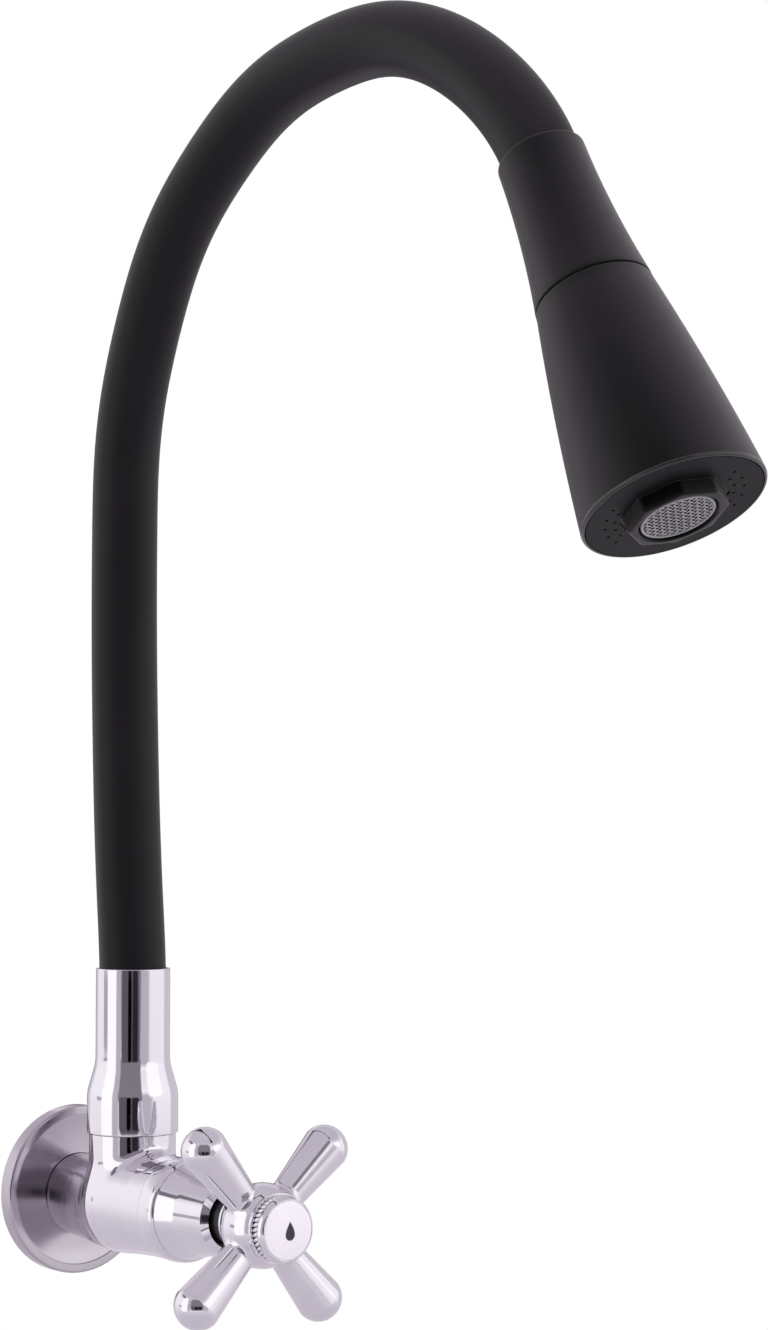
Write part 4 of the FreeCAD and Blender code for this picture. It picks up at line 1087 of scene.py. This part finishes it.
@dataclass
class IndexCap:
    """The chrome cap on the hub, and the index disc in its face."""

    radius: float = 10.2
    plug_r: float = 7.45
    plug_back: float = 115.8
    skirt_r: float = 9.15
    skirt_back: float = 119.35
    foot: float = 119.9
    side: tuple[Pair, Pair] = ((10.2, 120.45), (10.04, 120.85))
    side_round: float = 0.15
    bevel: tuple[Pair, Pair] = ((9.5, 121.75), (9.25, 122.0))
    land_r: float = 9.05
    fine_round: float = 0.1
    face: float = 122.0
    seat_r: float = 8.95
    seat_side: float = 121.7
    seat: float = 121.4
    disc_r: float = 8.85
    disc_base: float = 121.45
    disc_side: float = 121.95
    disc_edge_r: float = 8.79
    disc_edge: float = 122.05
    disc_crown: float = 122.95
    drop_wide: float = 2.3
    drop_tall: float = 5.6
    drop_point: float = 1.3
    drop_thick: float = 0.12
    drop_sides: int = 40

    def build(self, shop: Workshop) -> None:
        """Builds the cap, the disc and its water drop."""
        shop.add("cap_shell", self.cap(), "valve_stem", "chrome_handle", "index_cap",
                 on=VALVE, sharp=24)
        shop.add("index_face", self.disc(), "valve_stem", "index_face", "index_disc",
                 on=VALVE, sharp=50)
        shop.add("index_drop", self.drop(), "valve_stem", "index_face", sharp=50, finish="ink")

    def cap(self) -> Mesh:
        """The cap with its bevelled rim and the seat of the disc."""
        outline = Profile((0, self.plug_back), (self.plug_r, self.plug_back),
                          (self.plug_r, self.skirt_back), (self.skirt_r, self.skirt_back),
                          (self.skirt_r, self.foot))
        outline.round_to((self.radius, self.foot), self.side[0], self.side_round)
        outline.arc(self.side[1], self.bevel[0], 10)
        outline.round_to(self.bevel[1], (self.land_r, self.face), self.fine_round)
        outline.round_to((self.seat_r, self.face), (self.seat_r, self.seat_side), self.fine_round)
        return outline.to((self.seat_r, self.seat), (0, self.seat)).turn(128)

    def disc(self) -> Mesh:
        """The domed index disc."""
        half = self.disc_r / 2
        outline = Profile((0, self.disc_base), (self.disc_r, self.disc_base),
                          (self.disc_r, self.disc_side), (self.disc_edge_r, self.disc_edge))
        return outline.arc((half, self.crown(half)), (0, self.disc_crown), 24).turn(128)

    def crown(self, radius: float) -> float:
        """The station of the disc's face at a radius."""
        rise = self.disc_crown - self.disc_edge
        return self.disc_crown - rise * (radius / self.disc_r) ** 2

    def drop(self) -> Mesh:
        """A plain water drop let into the disc's face."""
        bm = bmesh.new()
        for i in range(self.drop_sides):
            angle = FULL_TURN * i / self.drop_sides
            x = self.drop_wide * math.sin(angle) * math.sin(angle / 2) ** self.drop_point
            z = self.drop_tall / 2 * math.cos(angle)
            bm.verts.new((x, -self.crown(math.hypot(x, z)) - self.drop_thick, z))
        bmesh.ops.remove_doubles(bm, verts=bm.verts, dist=1e-3)
        face = bm.faces.new(list(bm.verts))
        bmesh.ops.triangulate(bm, faces=[face])
        bmesh.ops.recalc_face_normals(bm, faces=bm.faces)
        if sum(f.normal.y for f in bm.faces) > 0:
            bmesh.ops.reverse_faces(bm, faces=bm.faces)
        bmesh.ops.solidify(bm, geom=bm.faces[:], thickness=self.drop_thick)
        return bm


# Spout

@dataclass
class SpoutSocket:
    """The chrome socket that turns on the neck and holds the hose."""

    collar_r: float = 15.0
    base: float = 21.9
    base_round: float = 0.4
    base_side: float = 3.0
    spigot_r: float = 10.65
    spigot_top: float = 33.0
    water_r: float = 9.55
    collar_top: float = 33.0
    tube_r: float = 12.25
    taper_top: float = 47.1
    blend_r: float = 16.0
    slope: float = 16.0
    hose_bore_r: float = 11.3
    foot: float = 51.8
    top: float = 75.6
    top_round: float = 0.35

    def build(self, shop: Workshop) -> None:
        """Builds the socket."""
        shop.add("socket_shell", self.shell(), "spout", "chrome_spout", "spout_socket",
                 on=SPOUT, sharp=24)

    def shell(self) -> Mesh:
        """The collar, its taper and the tube."""
        outline = Profile((self.spigot_r, self.base))
        outline.round_to((self.collar_r, self.base), (self.collar_r, self.base + self.base_side),
                         self.base_round, 5)
        outline.to((self.collar_r, self.collar_top))
        low = [self.blend(self.collar_r, self.collar_top, 1, share) for share in (0.5, 1.0)]
        high = [self.blend(self.tube_r, self.taper_top, -1, share) for share in (1.0, 0.5, 0.0)]
        outline.arc(*low, 10).to(high[0]).arc(*high[1:], 10)
        outline.round_to((self.tube_r, self.top), (self.hose_bore_r, self.top), self.top_round, 5)
        outline.to((self.hose_bore_r, self.foot), (self.water_r, self.foot),
                   (self.water_r, self.spigot_top), (self.spigot_r, self.spigot_top))
        return outline.turn(160)

    def blend(self, radius: float, station: float, side: int, share: float) -> Pair:
        """A point of the soft curve at one end of the taper.

        Args:
            radius: The radius where the curve leaves the straight wall.
            station: The station where it does.
            side: 1 at the collar, where the curve goes in and up, and -1 at the tube.
            share: How much of the slope the curve has turned.

        Returns:
            The point.
        """
        turn = math.radians(self.slope * share)
        return (radius - side * self.blend_r * (1 - math.cos(turn)),
                station + side * self.blend_r * math.sin(turn))


@dataclass(frozen=True)
class Link:
    """One link of the hose: where its curved stretches start, and the bend before it."""

    hinge: Optional[Axis]
    start: Axis
    bends: tuple[Pair, ...]

    def end(self) -> Axis:
        """The axis after the link's curved stretches."""
        here = self.start
        for stretch in self.bends:
            here = here.bent(*stretch)
        return here


@dataclass
class HoseSleeve:
    """The silicone sleeve of the spout, from the socket to the spray head.

    Each link has its curved stretches, each a length and a change of heading in degrees.
    """

    radius: float = 11.0
    bore_r: float = 8.6
    foot: float = 52.0
    first_run: float = 21.0
    cup_run: float = 14.0
    shoulder: float = 1.6
    seat: float = 14.0
    reach: float = 24.0
    ease: float = 15.0
    step: float = 2.4
    samples: int = 20
    bodies: tuple[str, ...] = ("spout", "hose_link_2", "hose_link_3", "hose_link_4", "hose_link_5",
                               "spray_head")
    links: tuple[tuple[Pair, ...], ...] = (
        ((9.0, -6.3), (59.8, 4.1)),
        ((63.7, 3.0),),
        ((47.7, 23.8),),
        ((48.3, 31.8),),
        ((45.3, 30.7),),
        ((39.2, 28.2), (53.4, 25.9), (14.4, 13.0)),
    )

    def route(self) -> list[Link]:
        """The hose's links, from the socket up."""
        made: list[Link] = []
        here = SPOUT.at(self.foot + self.first_run)
        hinge: Optional[Axis] = None
        for bends in self.links:
            link = Link(hinge, here, bends)
            made.append(link)
            hinge = link.end().at(self.cup_run)
            here = hinge.at(self.shoulder)
        return made

    def mouth(self) -> Axis:
        """The axis of the spray head, from its mouth."""
        return self.route()[-1].end()

    def course(self) -> list[Pair]:
        """The sleeve's stretches in order, each a length and a change of heading."""
        made = [(self.first_run, 0.0)]
        for i, bends in enumerate(self.links):
            if i:
                made.append((self.cup_run + self.shoulder, 0.0))
            made += bends
        return made + [(self.seat, 0.0)]

    def path(self) -> list[Axis]:
        """The sleeve's axis at even steps.

        Returns:
            The axes, with the bends eased over the straight runs between them. Both ends and their
            headings stay where they are.
        """
        course = self.course()
        ends = np.cumsum([0.0] + [length for length, _ in course])
        heads = np.cumsum([0.0] + [turn for _, turn in course])
        total = float(ends[-1])
        s = np.linspace(0, total, round(total / self.step) + 1)
        fine = np.linspace(0, total, self.samples * len(s))
        slices = np.diff(fine) * np.interp((fine[1:] + fine[:-1]) / 2, ends, heads)
        area = np.concatenate([[0.0], np.cumsum(slices)])
        half = np.clip(np.minimum(s, total - self.seat - s), 0.01, self.ease)
        low, high = np.maximum(s - half, 0), np.minimum(s + half, total)
        eased = (np.interp(high, fine, area) - np.interp(low, fine, area)) / (high - low)
        return self.placed(s, eased)

    def placed(self, s: np.ndarray, headings: np.ndarray) -> list[Axis]:
        """Lays headings end to end from the sleeve's foot.

        Args:
            s: How far along the sleeve each heading is.
            headings: The headings in degrees.

        Returns:
            The axes, moved by a small share of the error at the far end to take that error out.
        """
        start, finish = SPOUT.at(self.foot), self.mouth().at(self.seat)
        middle = np.radians((headings[1:] + headings[:-1]) / 2)
        step = s[1] - s[0]
        y = start.y - step * np.concatenate([[0.0], np.cumsum(np.sin(middle))])
        z = start.z + step * np.concatenate([[0.0], np.cumsum(np.cos(middle))])
        share = np.clip((s - self.first_run) / (s[-1] - self.seat - self.first_run), 0, 1)
        LOG.info("sleeve easing error %.2f %.2f", finish.y - y[-1], finish.z - z[-1])
        y += (finish.y - y[-1]) * share
        z += (finish.z - z[-1]) * share
        return [Axis(float(a), float(b), float(c)) for a, b, c in zip(y, z, headings)]

    def joins(self) -> list[float]:
        """How far along the sleeve the middle of each link's last curved stretch is."""
        made, here = [], self.first_run
        for bends in self.links:
            here += sum(length for length, _ in bends)
            made.append(here - bends[-1][0] / 2)
            here += self.cup_run + self.shoulder
        return made

    def build(self, shop: Workshop) -> None:
        """Builds one piece of sleeve over each of the hose's bends."""
        path, route = self.path(), self.route()
        cuts = [0] + [round(join / self.step) for join in self.joins()[1:-1]] + [len(path) - 1]
        for i, (low, high) in enumerate(zip(cuts, cuts[1:])):
            sleeve = self.stretch(path[low:high + 1])
            obj = piece(f"sleeve_bend_{i + 1}", sleeve, shop.finish("hose_silicone"), 40)
            hinge = route[i + 1].hinge
            hinge.at(-self.reach).point()
            hinge.at(self.reach).point()
            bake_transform(obj)
            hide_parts(f"hose_sleeve_{i + 1}", f"hose_sleeve_{i + 2}")

    def stretch(self, path: Sequence[Axis]) -> Mesh:
        """The closed tube along a path, in millimetres, in place."""
        bm = bmesh.new()
        foot = path[0].matrix()
        rims = ring(bm, self.radius, foot) + ring(bm, self.bore_r, foot)
        front = bmesh.ops.bridge_loops(bm, edges=rims)["faces"]
        return draw_on(bm, front, [there.matrix() @ here.matrix().inverted()
                                   for here, there in zip(path, path[1:])])


# Spray head

@dataclass
class SprayHead:
    """The black spray head's upper shell and turning cone, on the axis from its mouth."""

    axis: Axis
    hose_bore_r: float = 11.3
    hose_stop: float = 14.2
    core_bore_r: float = 9.55
    mouth_r: float = 12.4
    mouth_flat: float = 0.3
    mouth_side: Pair = (0.04, 1.2)
    mouth_round: float = 0.5
    upper_mid_r: float = 13.55
    upper_inside: tuple[Pair, Pair] = ((12.65, 38.35), (11.95, 30.0))
    seam_r: float = 16.35
    seam: float = 46.7
    seam_side: float = 0.3
    seam_flat: float = 0.6
    fine_round: float = 0.25
    gap: float = 0.6
    wall: float = 2.0
    tongue_wall: float = 1.0
    tongue_gap: float = 0.1
    cone_edge: tuple[Pair, Pair] = ((0.05, 0.0), (0.12, 1.0))
    cone_middle: Pair = (21.25, 79.6)
    cone_inside: tuple[Pair, Pair] = ((19.75, 88.6), (16.75, 66.0))
    neck_bore_r: float = 12.95
    partition: Pair = (63.0, 66.0)
    tube_r: float = 8.0
    tube_bore_r: float = 6.2
    tube_end: float = 104.7
    rim_r: float = 25.0
    rim: float = 111.9
    plate_seat_r: float = 23.9
    plate_ledge_r: float = 22.8
    plate_ledge: float = 111.2
    lip_foot: float = 111.92
    lip_outside: tuple[Pair, Pair] = ((24.8, 112.8), (24.45, 113.05))
    lip_inside: tuple[Pair, Pair] = ((24.2, 113.0), (24.1, 112.65))
    lip_groove: float = 112.4

    def build(self, shop: Workshop) -> None:
        """Builds the shells and the cone's lip."""
        shop.add("head_upper_shell", self.upper(), "spray_head", "head_black", "upper_shell",
                 on=self.axis, sharp=24)
        shop.add("head_lower_shell", self.lower(), "spray_selector", "head_black", "lower_shell",
                 on=self.axis, sharp=24)
        shop.add("head_lip", self.lip(), "spray_selector", "head_black",
                 on=self.axis, sharp=40, finish="lip_black")

    def upper(self) -> Mesh:
        """The upper shell, from the mouth round the hose to the seam."""
        inner = self.seam_r - self.wall
        tongue_r, tongue = self.seam_r - self.tongue_wall, self.seam + self.gap - self.tongue_gap
        proud, past = self.mouth_side
        outline = Profile((self.hose_bore_r, self.hose_stop))
        outline.round_to((self.hose_bore_r, 0), (self.mouth_r - self.mouth_flat, 0), self.fine_round)
        outline.round_to((self.mouth_r, 0), (self.mouth_r + proud, past), self.mouth_round, 5)
        outline.arc((self.upper_mid_r, self.seam / 2), (self.seam_r, self.seam - self.seam_side), 24)
        outline.round_to((self.seam_r, self.seam), (self.seam_r - self.seam_flat, self.seam),
                         self.fine_round, 4)
        outline.to((tongue_r, self.seam), (tongue_r, tongue), (inner, tongue), (inner, self.seam))
        outline.arc(*self.upper_inside, 10)
        outline.to((self.core_bore_r, self.upper_inside[1][1]), (self.core_bore_r, self.hose_stop))
        return outline.turn(128)

    def lower(self) -> Mesh:
        """The turning cone, with its partition and centre tube."""
        top = self.seam + self.gap
        corner, end = ((self.seam_r + proud, top + past) for proud, past in self.cone_edge)
        back, front = self.partition
        outline = Profile((self.neck_bore_r, top), (self.seam_r - self.seam_side, top))
        outline.round_to(corner, end, self.fine_round, 4)
        outline.arc(self.cone_middle, (self.rim_r, self.rim), 28)
        outline.to((self.plate_seat_r, self.rim), (self.plate_seat_r, self.plate_ledge),
                   (self.plate_ledge_r, self.plate_ledge)).arc(*self.cone_inside, 12)
        outline.to((self.tube_r, front), (self.tube_r, self.tube_end), (self.tube_bore_r, self.tube_end),
                   (self.tube_bore_r, back), (self.neck_bore_r, back))
        return outline.turn(160)

    def lip(self) -> Mesh:
        """The cone's rounded edge, with a fine groove between it and the plate."""
        outline = Profile((self.plate_seat_r, self.lip_foot), (self.rim_r, self.lip_foot))
        outline.arc(*self.lip_outside, 10).arc(*self.lip_inside, 4)
        return outline.to((self.plate_seat_r, self.lip_groove)).turn(160)


@dataclass
class NozzleBoss:
    """The eight-sided boss in the middle of the head's face, with its flange behind the plate."""

    axis: Axis
    sides: int = 8
    across: float = 25.6
    angle: float = 39.0
    foot: float = 109.3
    front: float = 116.5
    edge_round: float = 1.0
    bore_r: float = 10.8
    bore_round: float = 0.35
    floor: float = 110.7
    tube_r: float = 8.05
    skirt_r: float = 10.2
    skirt_end: float = 100.7
    flange_r: float = 16.5
    flange_bore_r: float = 11.5
    flange_span: Pair = (109.1, 111.15)
    step_across: float = 27.4
    step_bore_r: float = 11.9
    step_span: Pair = (111.0, 112.55)

    def build(self, shop: Workshop) -> None:
        """Builds the boss and its flange as one piece."""
        shop.add("face_boss", merged([self.boss(), self.flange()]), "spray_selector", "head_black",
                 "nozzle_boss", on=self.axis, sharp=30)

    def eight_sided(self, across: float, station: float) -> tuple[float, Matrix]:
        """The corner radius and the place of an outline like the boss's.

        Args:
            across: Its width from side to side.
            station: Its station.

        Returns:
            The radius and the matrix.
        """
        turn = Matrix.Rotation(math.radians(self.angle), 4, "Z")
        return (across / 2 / math.cos(math.pi / self.sides),
                Matrix.Translation((0, 0, station)) @ turn)

    def boss(self) -> Mesh:
        """The boss with its rounded edges, its bore, floor and skirt."""
        bm = bmesh.new()
        corner_r, place = self.eight_sided(self.across, self.foot)
        bmesh.ops.create_circle(bm, segments=self.sides, radius=corner_r, cap_ends=True, matrix=place)
        draw_on(bm, bm.faces[:], [Matrix.Translation((0, 0, self.front - self.foot))])
        middle = (self.front + self.foot) / 2
        bevelled = [e for e in bm.edges if max(v.co.z for v in e.verts) > middle]
        bmesh.ops.bevel(bm, geom=bevelled, offset=self.edge_round, segments=6, profile=0.5,
                        affect="EDGES", clamp_overlap=True, material=-1)
        caps = [f for f in bm.faces if abs(f.normal.z) > 0.99 and len(f.verts) >= self.sides]
        bmesh.ops.delete(bm, geom=caps, context="FACES_ONLY")
        rims = [e for e in bm.edges if e.is_boundary]
        last = [e for e in rims if e.verts[0].co.z > middle]
        foot = [e for e in rims if e.verts[0].co.z < middle]
        for radius, station in ((self.bore_r + self.bore_round, self.front),
                                (self.bore_r, self.front - self.bore_round),
                                (self.bore_r, self.floor), (self.tube_r, self.floor),
                                (self.tube_r, self.skirt_end), (self.skirt_r, self.skirt_end),
                                (self.skirt_r, self.foot)):
            edges = ring(bm, radius, Matrix.Translation((0, 0, station)))
            bmesh.ops.bridge_loops(bm, edges=last + edges)
            last = edges
        bmesh.ops.bridge_loops(bm, edges=foot + last)
        bmesh.ops.recalc_face_normals(bm, faces=bm.faces)
        return bm

    def flange(self) -> Mesh:
        """The flange behind the face plate, with the step that fills the plate's opening."""
        back, front = self.flange_span
        bm = Profile((self.flange_bore_r, back), (self.flange_r, back), (self.flange_r, front),
                     (self.flange_bore_r, front)).turn(96)
        low, high = self.step_span
        loops = []
        for station, outside in ((low, True), (high, True), (high, False), (low, False)):
            corner_r, place = self.eight_sided(self.step_across, station)
            loops.append(ring(bm, corner_r if outside else self.step_bore_r, place, self.sides))
        for near, far in zip(loops, loops[1:] + loops[:1]):
            bmesh.ops.bridge_loops(bm, edges=near + far)
        bmesh.ops.recalc_face_normals(bm, faces=bm.faces)
        return bm


@dataclass
class Aerator:
    """The aerator in the boss: a light grey insert with a square net in its mouth."""

    axis: Axis
    radius: float = 10.1
    bore_r: float = 9.3
    start: float = 112.05
    front: float = 116.0
    front_round: float = 0.3
    edge: float = 0.1
    ledge_r: float = 7.9
    ledge: float = 115.2
    net_r: float = 9.25
    net_pitch: float = 1.36
    net_level: float = 115.5
    wire_r: float = 0.25
    wire_swing: float = 0.2
    wire_least: float = 1.0

    def build(self, shop: Workshop) -> None:
        """Builds the insert and the net."""
        shop.add("aerator_insert", self.insert(), "spray_selector", "aerator_grey", "aerator_housing",
                 on=self.axis, sharp=30)
        shop.add("aerator_net", self.net(), "spray_selector", "steel", "aerator_screen",
                 on=self.axis, sharp=60, finish="net_metal")

    def insert(self) -> Mesh:
        """The insert, with a ledge behind the net."""
        outline = Profile((self.ledge_r, self.start), (self.radius, self.start))
        outline.round_to((self.radius, self.front), (self.bore_r + self.edge, self.front),
                         self.front_round, 5)
        outline.to((self.bore_r, self.front - self.edge), (self.bore_r, self.ledge),
                   (self.ledge_r, self.ledge))
        return outline.turn(96)

    def net(self) -> Mesh:
        """The woven square net, as crossing wires that pass over and under each other."""
        parts = []
        reach = int(self.net_r / self.net_pitch)
        for axis in (0, 1):
            for i in range(-reach, reach + 1):
                offset = i * self.net_pitch
                half = math.sqrt(self.net_r ** 2 - offset ** 2)
                if half > self.wire_least:
                    parts.append(self.wire(offset, half, axis, i % 2))
        return merged(parts)

    def wire(self, offset: float, half: float, axis: int, phase: int) -> Mesh:
        """One wire of the net.

        Args:
            offset: Its distance from the middle.
            half: Half its length.
            axis: Whether it runs along X or Y.
            phase: Whether it starts over or under its neighbours.

        Returns:
            The closed wire.
        """
        bm = bmesh.new()
        count = max(6, int(half * 2 / self.net_pitch * 4))
        along = Matrix.Rotation(math.pi / 2, 4, "Y")
        bmesh.ops.create_circle(bm, segments=8, radius=self.wire_r, cap_ends=True, matrix=along)
        draw_on(bm, bm.faces[:], [Matrix.Translation((2 * half / count, 0, 0))] * count)
        for v in bm.verts:
            v.co.x -= half
            swing = math.cos(math.pi * v.co.x / self.net_pitch + math.pi * (phase + axis))
            v.co.z += self.wire_swing * swing
        turn = Matrix.Rotation(math.pi / 2 * axis, 4, "Z")
        level = Matrix.Translation((0, 0, self.net_level))
        return move(bm, level @ turn @ Matrix.Translation((0, offset, 0)))


# Studio

@dataclass(frozen=True)
class Card:
    """A soft-edged window or dark card of the studio, as polished metal shows it.

    Angles are degrees seen from the tap. Azimuth 0 is the camera's side and grows to the camera's right.
    """

    azimuth: float
    elevation: float
    width: float
    height: float
    bright: float
    corner: float
    soft: float

    def mask(self, wiring: Wiring, group: Tree, azimuth: Socket,
             elevation: Socket) -> Socket:
        """The mask that is 1 inside the card and 0 outside.

        Args:
            wiring: The world's wiring.
            group: The shared group that draws a soft card.
            azimuth: The azimuth that is looked at.
            elevation: The elevation that is looked at.

        Returns:
            The mask.
        """
        return wiring.group(group, {
            "Azimuth": azimuth, "Middle Azimuth": self.azimuth,
            "Elevation": elevation, "Middle Elevation": self.elevation,
            "Inner Width": self.width / 2 - self.corner,
            "Inner Height": self.height / 2 - self.corner,
            "Far": self.corner + self.soft / 2, "Near": self.corner - self.soft / 2,
        }).outputs["Mask"]


CARDS = (
    Card(150, 0, 76, 60, 0.55, 20, 10),
    Card(-165, 0, 50, 60, 0.53, 20, 16),
    Card(33, -2, 34, 30, 0.46, 10, 12),
    Card(62, 17, 42, 24, 1.0, 8, 6),
    Card(-71, 9, 32, 54, 1.0, 8, 4),
    Card(178, 0, 30, 24, 0.20, 8, 6),
    Card(-168, 0, 14, 24, 0.20, 6, 5),
    Card(-95, -1.2, 17, 5.8, 0.40, 1.5, 1.5),
    Card(-92, 33, 32, 7, 0.17, 3.4, 2),
    Card(-46, 10, 16, 50, 0.46, 6, 2.5),
    Card(-8, 13, 62, 50, 0.20, 16, 3),
    Card(-9, -3, 54, 18, 0.10, 8, 3),
    Card(-11, -2, 11, 14, 0.0, 4, 2.5),
    Card(5.5, -2, 16, 14, 0.02, 4, 2.5),
)

# The pale room behind the cards: its brightness at elevations in degrees
ROOM: tuple[Pair, ...] = (
    (-90, 0.51), (-35, 0.54), (-22, 0.61), (-12, 0.73), (-5, 0.81), (10, 0.86), (22, 0.86),
    (32, 0.61), (42, 0.50), (60, 0.49), (90, 0.53))

# How much green a dark grey of the studio loses, and how much blue it gains
TINT: Pair = (0.14, 0.08)


def soft_card() -> Tree:
    """The shared group that draws a card with round corners and a soft edge."""
    labels = ("Azimuth", "Elevation", "Middle Azimuth", "Middle Elevation", "Inner Width",
              "Inner Height", "Far", "Near")
    effect = Effect("soft_card", dict.fromkeys(labels, 0.0), ("Mask",))
    enter = effect.enter
    sides = []
    for angle, size in (("Azimuth", "Inner Width"), ("Elevation", "Inner Height")):
        away = effect.maths("SUBTRACT", enter[angle], enter[f"Middle {angle}"])
        away = effect.maths("SUBTRACT", effect.maths("ABSOLUTE", away), enter[size])
        away = effect.maths("MAXIMUM", away, 0.0)
        sides.append(effect.maths("MULTIPLY", away, away))
    reach = effect.maths("SQRT", effect.maths("ADD", *sides))
    mask = effect.ranged(reach, (enter["Far"], enter["Near"]), soft=True)
    effect.feed(effect.leave, {"Mask": mask})
    return effect.tree


def tinted(bright: float) -> tuple[float, float, float, float]:
    """A grey with the studio's faint lilac tint, stronger where it is darker."""
    dark = 1 - bright
    return bright, bright * (1 - TINT[0] * dark), bright * (1 + TINT[1] * dark), 1.0


@dataclass
class Studio:
    """The camera, the lights, the surroundings and the floor.

    Each lamp has a name, a place, the side of its square in metres and a power in watts.
    """

    place: Point = (-0.464362, -0.736931, 0.116342)
    azimuth: float = -37.319
    pitch: float = 4.081
    focal_px: float = 2517.3
    centre_px: float = 300.0
    width_px: float = 768.0
    height_px: float = 1330.0
    sensor: float = 36.0
    clip: Pair = (0.05, 50.0)
    white: tuple[float, float, float, float] = (1.0, 1.0, 1.0, 1.0)
    even_light: tuple[float, float, float, float] = (1.0, 0.985, 1.0, 1.0)
    even_strength: float = 0.62
    shine_strength: float = 1.23
    seam_azimuth: float = 190.0
    lamps: tuple[tuple[str, Point, float, float], ...] = (
        ("key", (-0.55, -1.1, 1.15), 1.1, 10.5),
        ("fill", (1.2, -0.7, 0.6), 1.0, 4.0),
    )
    lamp_aim: Point = (0.0, -0.12, 0.2)
    floor_z: float = -0.45
    floor_middle: float = -150.0
    floor_r: float = 2000.0
    floor_bright: float = 0.86
    floor_lift: float = 0.32

    def build(self) -> None:
        """Builds the studio."""
        self.camera()
        self.world()
        for lamp in self.lamps:
            self.lamp(*lamp)
        self.floor()
        bpy.context.scene.view_settings.view_transform = "Standard"

    def camera(self) -> None:
        """The camera at the photograph's angle."""
        data = bpy.data.cameras.new("camera")
        data.sensor_width = self.sensor
        data.lens = self.focal_px / self.height_px * self.sensor
        data.shift_x = (self.width_px / 2 - self.centre_px) / self.height_px
        data.clip_start, data.clip_end = self.clip
        obj = bpy.data.objects.new("camera", data)
        obj.location = self.place
        obj.rotation_euler = (math.radians(90 + self.pitch), 0, math.radians(self.azimuth))
        bpy.context.scene.collection.objects.link(obj)
        bpy.context.scene.camera = obj

    def world(self) -> None:
        """A white background, an even light, and the room that polished metal shows."""
        world = bpy.data.worlds.new("studio")
        world.use_nodes = True
        bpy.context.scene.world = world
        world.node_tree.nodes.clear()
        wiring = Wiring(world.node_tree)
        shine, light, clear = (
            wiring.add("ShaderNodeBackground", {"Color": colour, "Strength": strength}).outputs[0]
            for colour, strength in ((self.surroundings(wiring), self.shine_strength),
                                     (self.even_light, self.even_strength), (self.white, 1.0)))
        ray = wiring.nodes.new("ShaderNodeLightPath").outputs
        lit = wiring.add("ShaderNodeMixShader", {0: ray["Is Glossy Ray"], 1: light, 2: shine})
        seen = wiring.add("ShaderNodeMixShader", {0: ray["Is Camera Ray"], 1: lit.outputs[0], 2: clear})
        wiring.add("ShaderNodeOutputWorld", {"Surface": seen.outputs[0]})

    def surroundings(self, wiring: Wiring) -> Socket:
        """The colours round the tap: a pale room by height, with the cards before it.

        Args:
            wiring: The world's wiring.

        Returns:
            The colour.
        """
        place = wiring.nodes.new("ShaderNodeTexCoord").outputs["Generated"]
        split = wiring.add("ShaderNodeSeparateXYZ", {0: place}).outputs
        compass = wiring.maths("DEGREES", wiring.maths("ARCTAN2", split["X"], split["Y"]))
        towards_camera = math.degrees(math.atan2(self.place[0], self.place[1]))
        azimuth = wiring.maths("WRAP", wiring.maths("SUBTRACT", towards_camera, compass),
                               self.seam_azimuth, self.seam_azimuth - 360)
        elevation = wiring.maths("DEGREES", wiring.maths("ARCSINE", split["Z"]))
        room = wiring.add("ShaderNodeValToRGB", {"Fac": wiring.ranged(elevation, (-90.0, 90.0))})
        elements = room.color_ramp.elements
        elements.remove(elements[-1])
        for i, (degrees, bright) in enumerate(ROOM):
            position = (degrees + 90) / 180
            element = elements[0] if i == 0 else elements.new(position)
            element.position = position
            element.color = tinted(bright)
        colour = room.outputs["Color"]
        group = soft_card()
        for card in CARDS:
            mask = card.mask(wiring, group, azimuth, elevation)
            colour = wiring.mixed(mask, colour, tinted(card.bright))
        return colour

    def lamp(self, name: str, place: Point, size: float, power: float) -> None:
        """Adds a soft lamp that doesn't show in polished metal.

        Args:
            name: The lamp's name.
            place: Where it stands.
            size: Its side in metres.
            power: Its power in watts.
        """
        data = bpy.data.lights.new(name, "AREA")
        data.energy = power
        data.size = size
        obj = bpy.data.objects.new(name, data)
        obj.location = place
        aim = Vector(self.lamp_aim) - Vector(place)
        obj.rotation_euler = aim.to_track_quat("-Z", "Y").to_euler()
        obj.visible_glossy = False
        bpy.context.scene.collection.objects.link(obj)

    def floor(self) -> None:
        """A plain white floor well below the tap, which the camera sees a little brighter."""
        bm = bmesh.new()
        place = Matrix.Translation((0, self.floor_middle, self.floor_z / MM))
        bmesh.ops.create_circle(bm, segments=64, radius=self.floor_r, cap_ends=True, matrix=place)
        material, wiring, shader = new_material("floor_white")
        ray = wiring.nodes.new("ShaderNodeLightPath").outputs["Is Camera Ray"]
        bright = self.floor_bright
        wiring.feed(shader, {
            "Base Color": (bright, bright, bright, 1.0), "Roughness": 0.9,
            "Emission Color": self.white,
            "Emission Strength": wiring.maths("MULTIPLY", ray, self.floor_lift),
        })
        obj = piece("floor", bm, material)
        obj.visible_glossy = False


def main() -> None:
    """Builds the tap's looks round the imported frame."""
    logging.basicConfig(level=logging.INFO, format="%(name)s %(message)s")
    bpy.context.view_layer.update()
    shop = Workshop()
    Studio().build()
    for assembly in (WallMount, TapBody, Bonnet, CrossHandle, RopeRing, IndexCap, SpoutSocket):
        assembly().build(shop)
    hose = HoseSleeve()
    hose.build(shop)
    for assembly in (SprayHead, NozzleBoss, Aerator):
        assembly(hose.mouth()).build(shop)
    shop.dress_nodes()


if __name__ == "__main__":
    main()
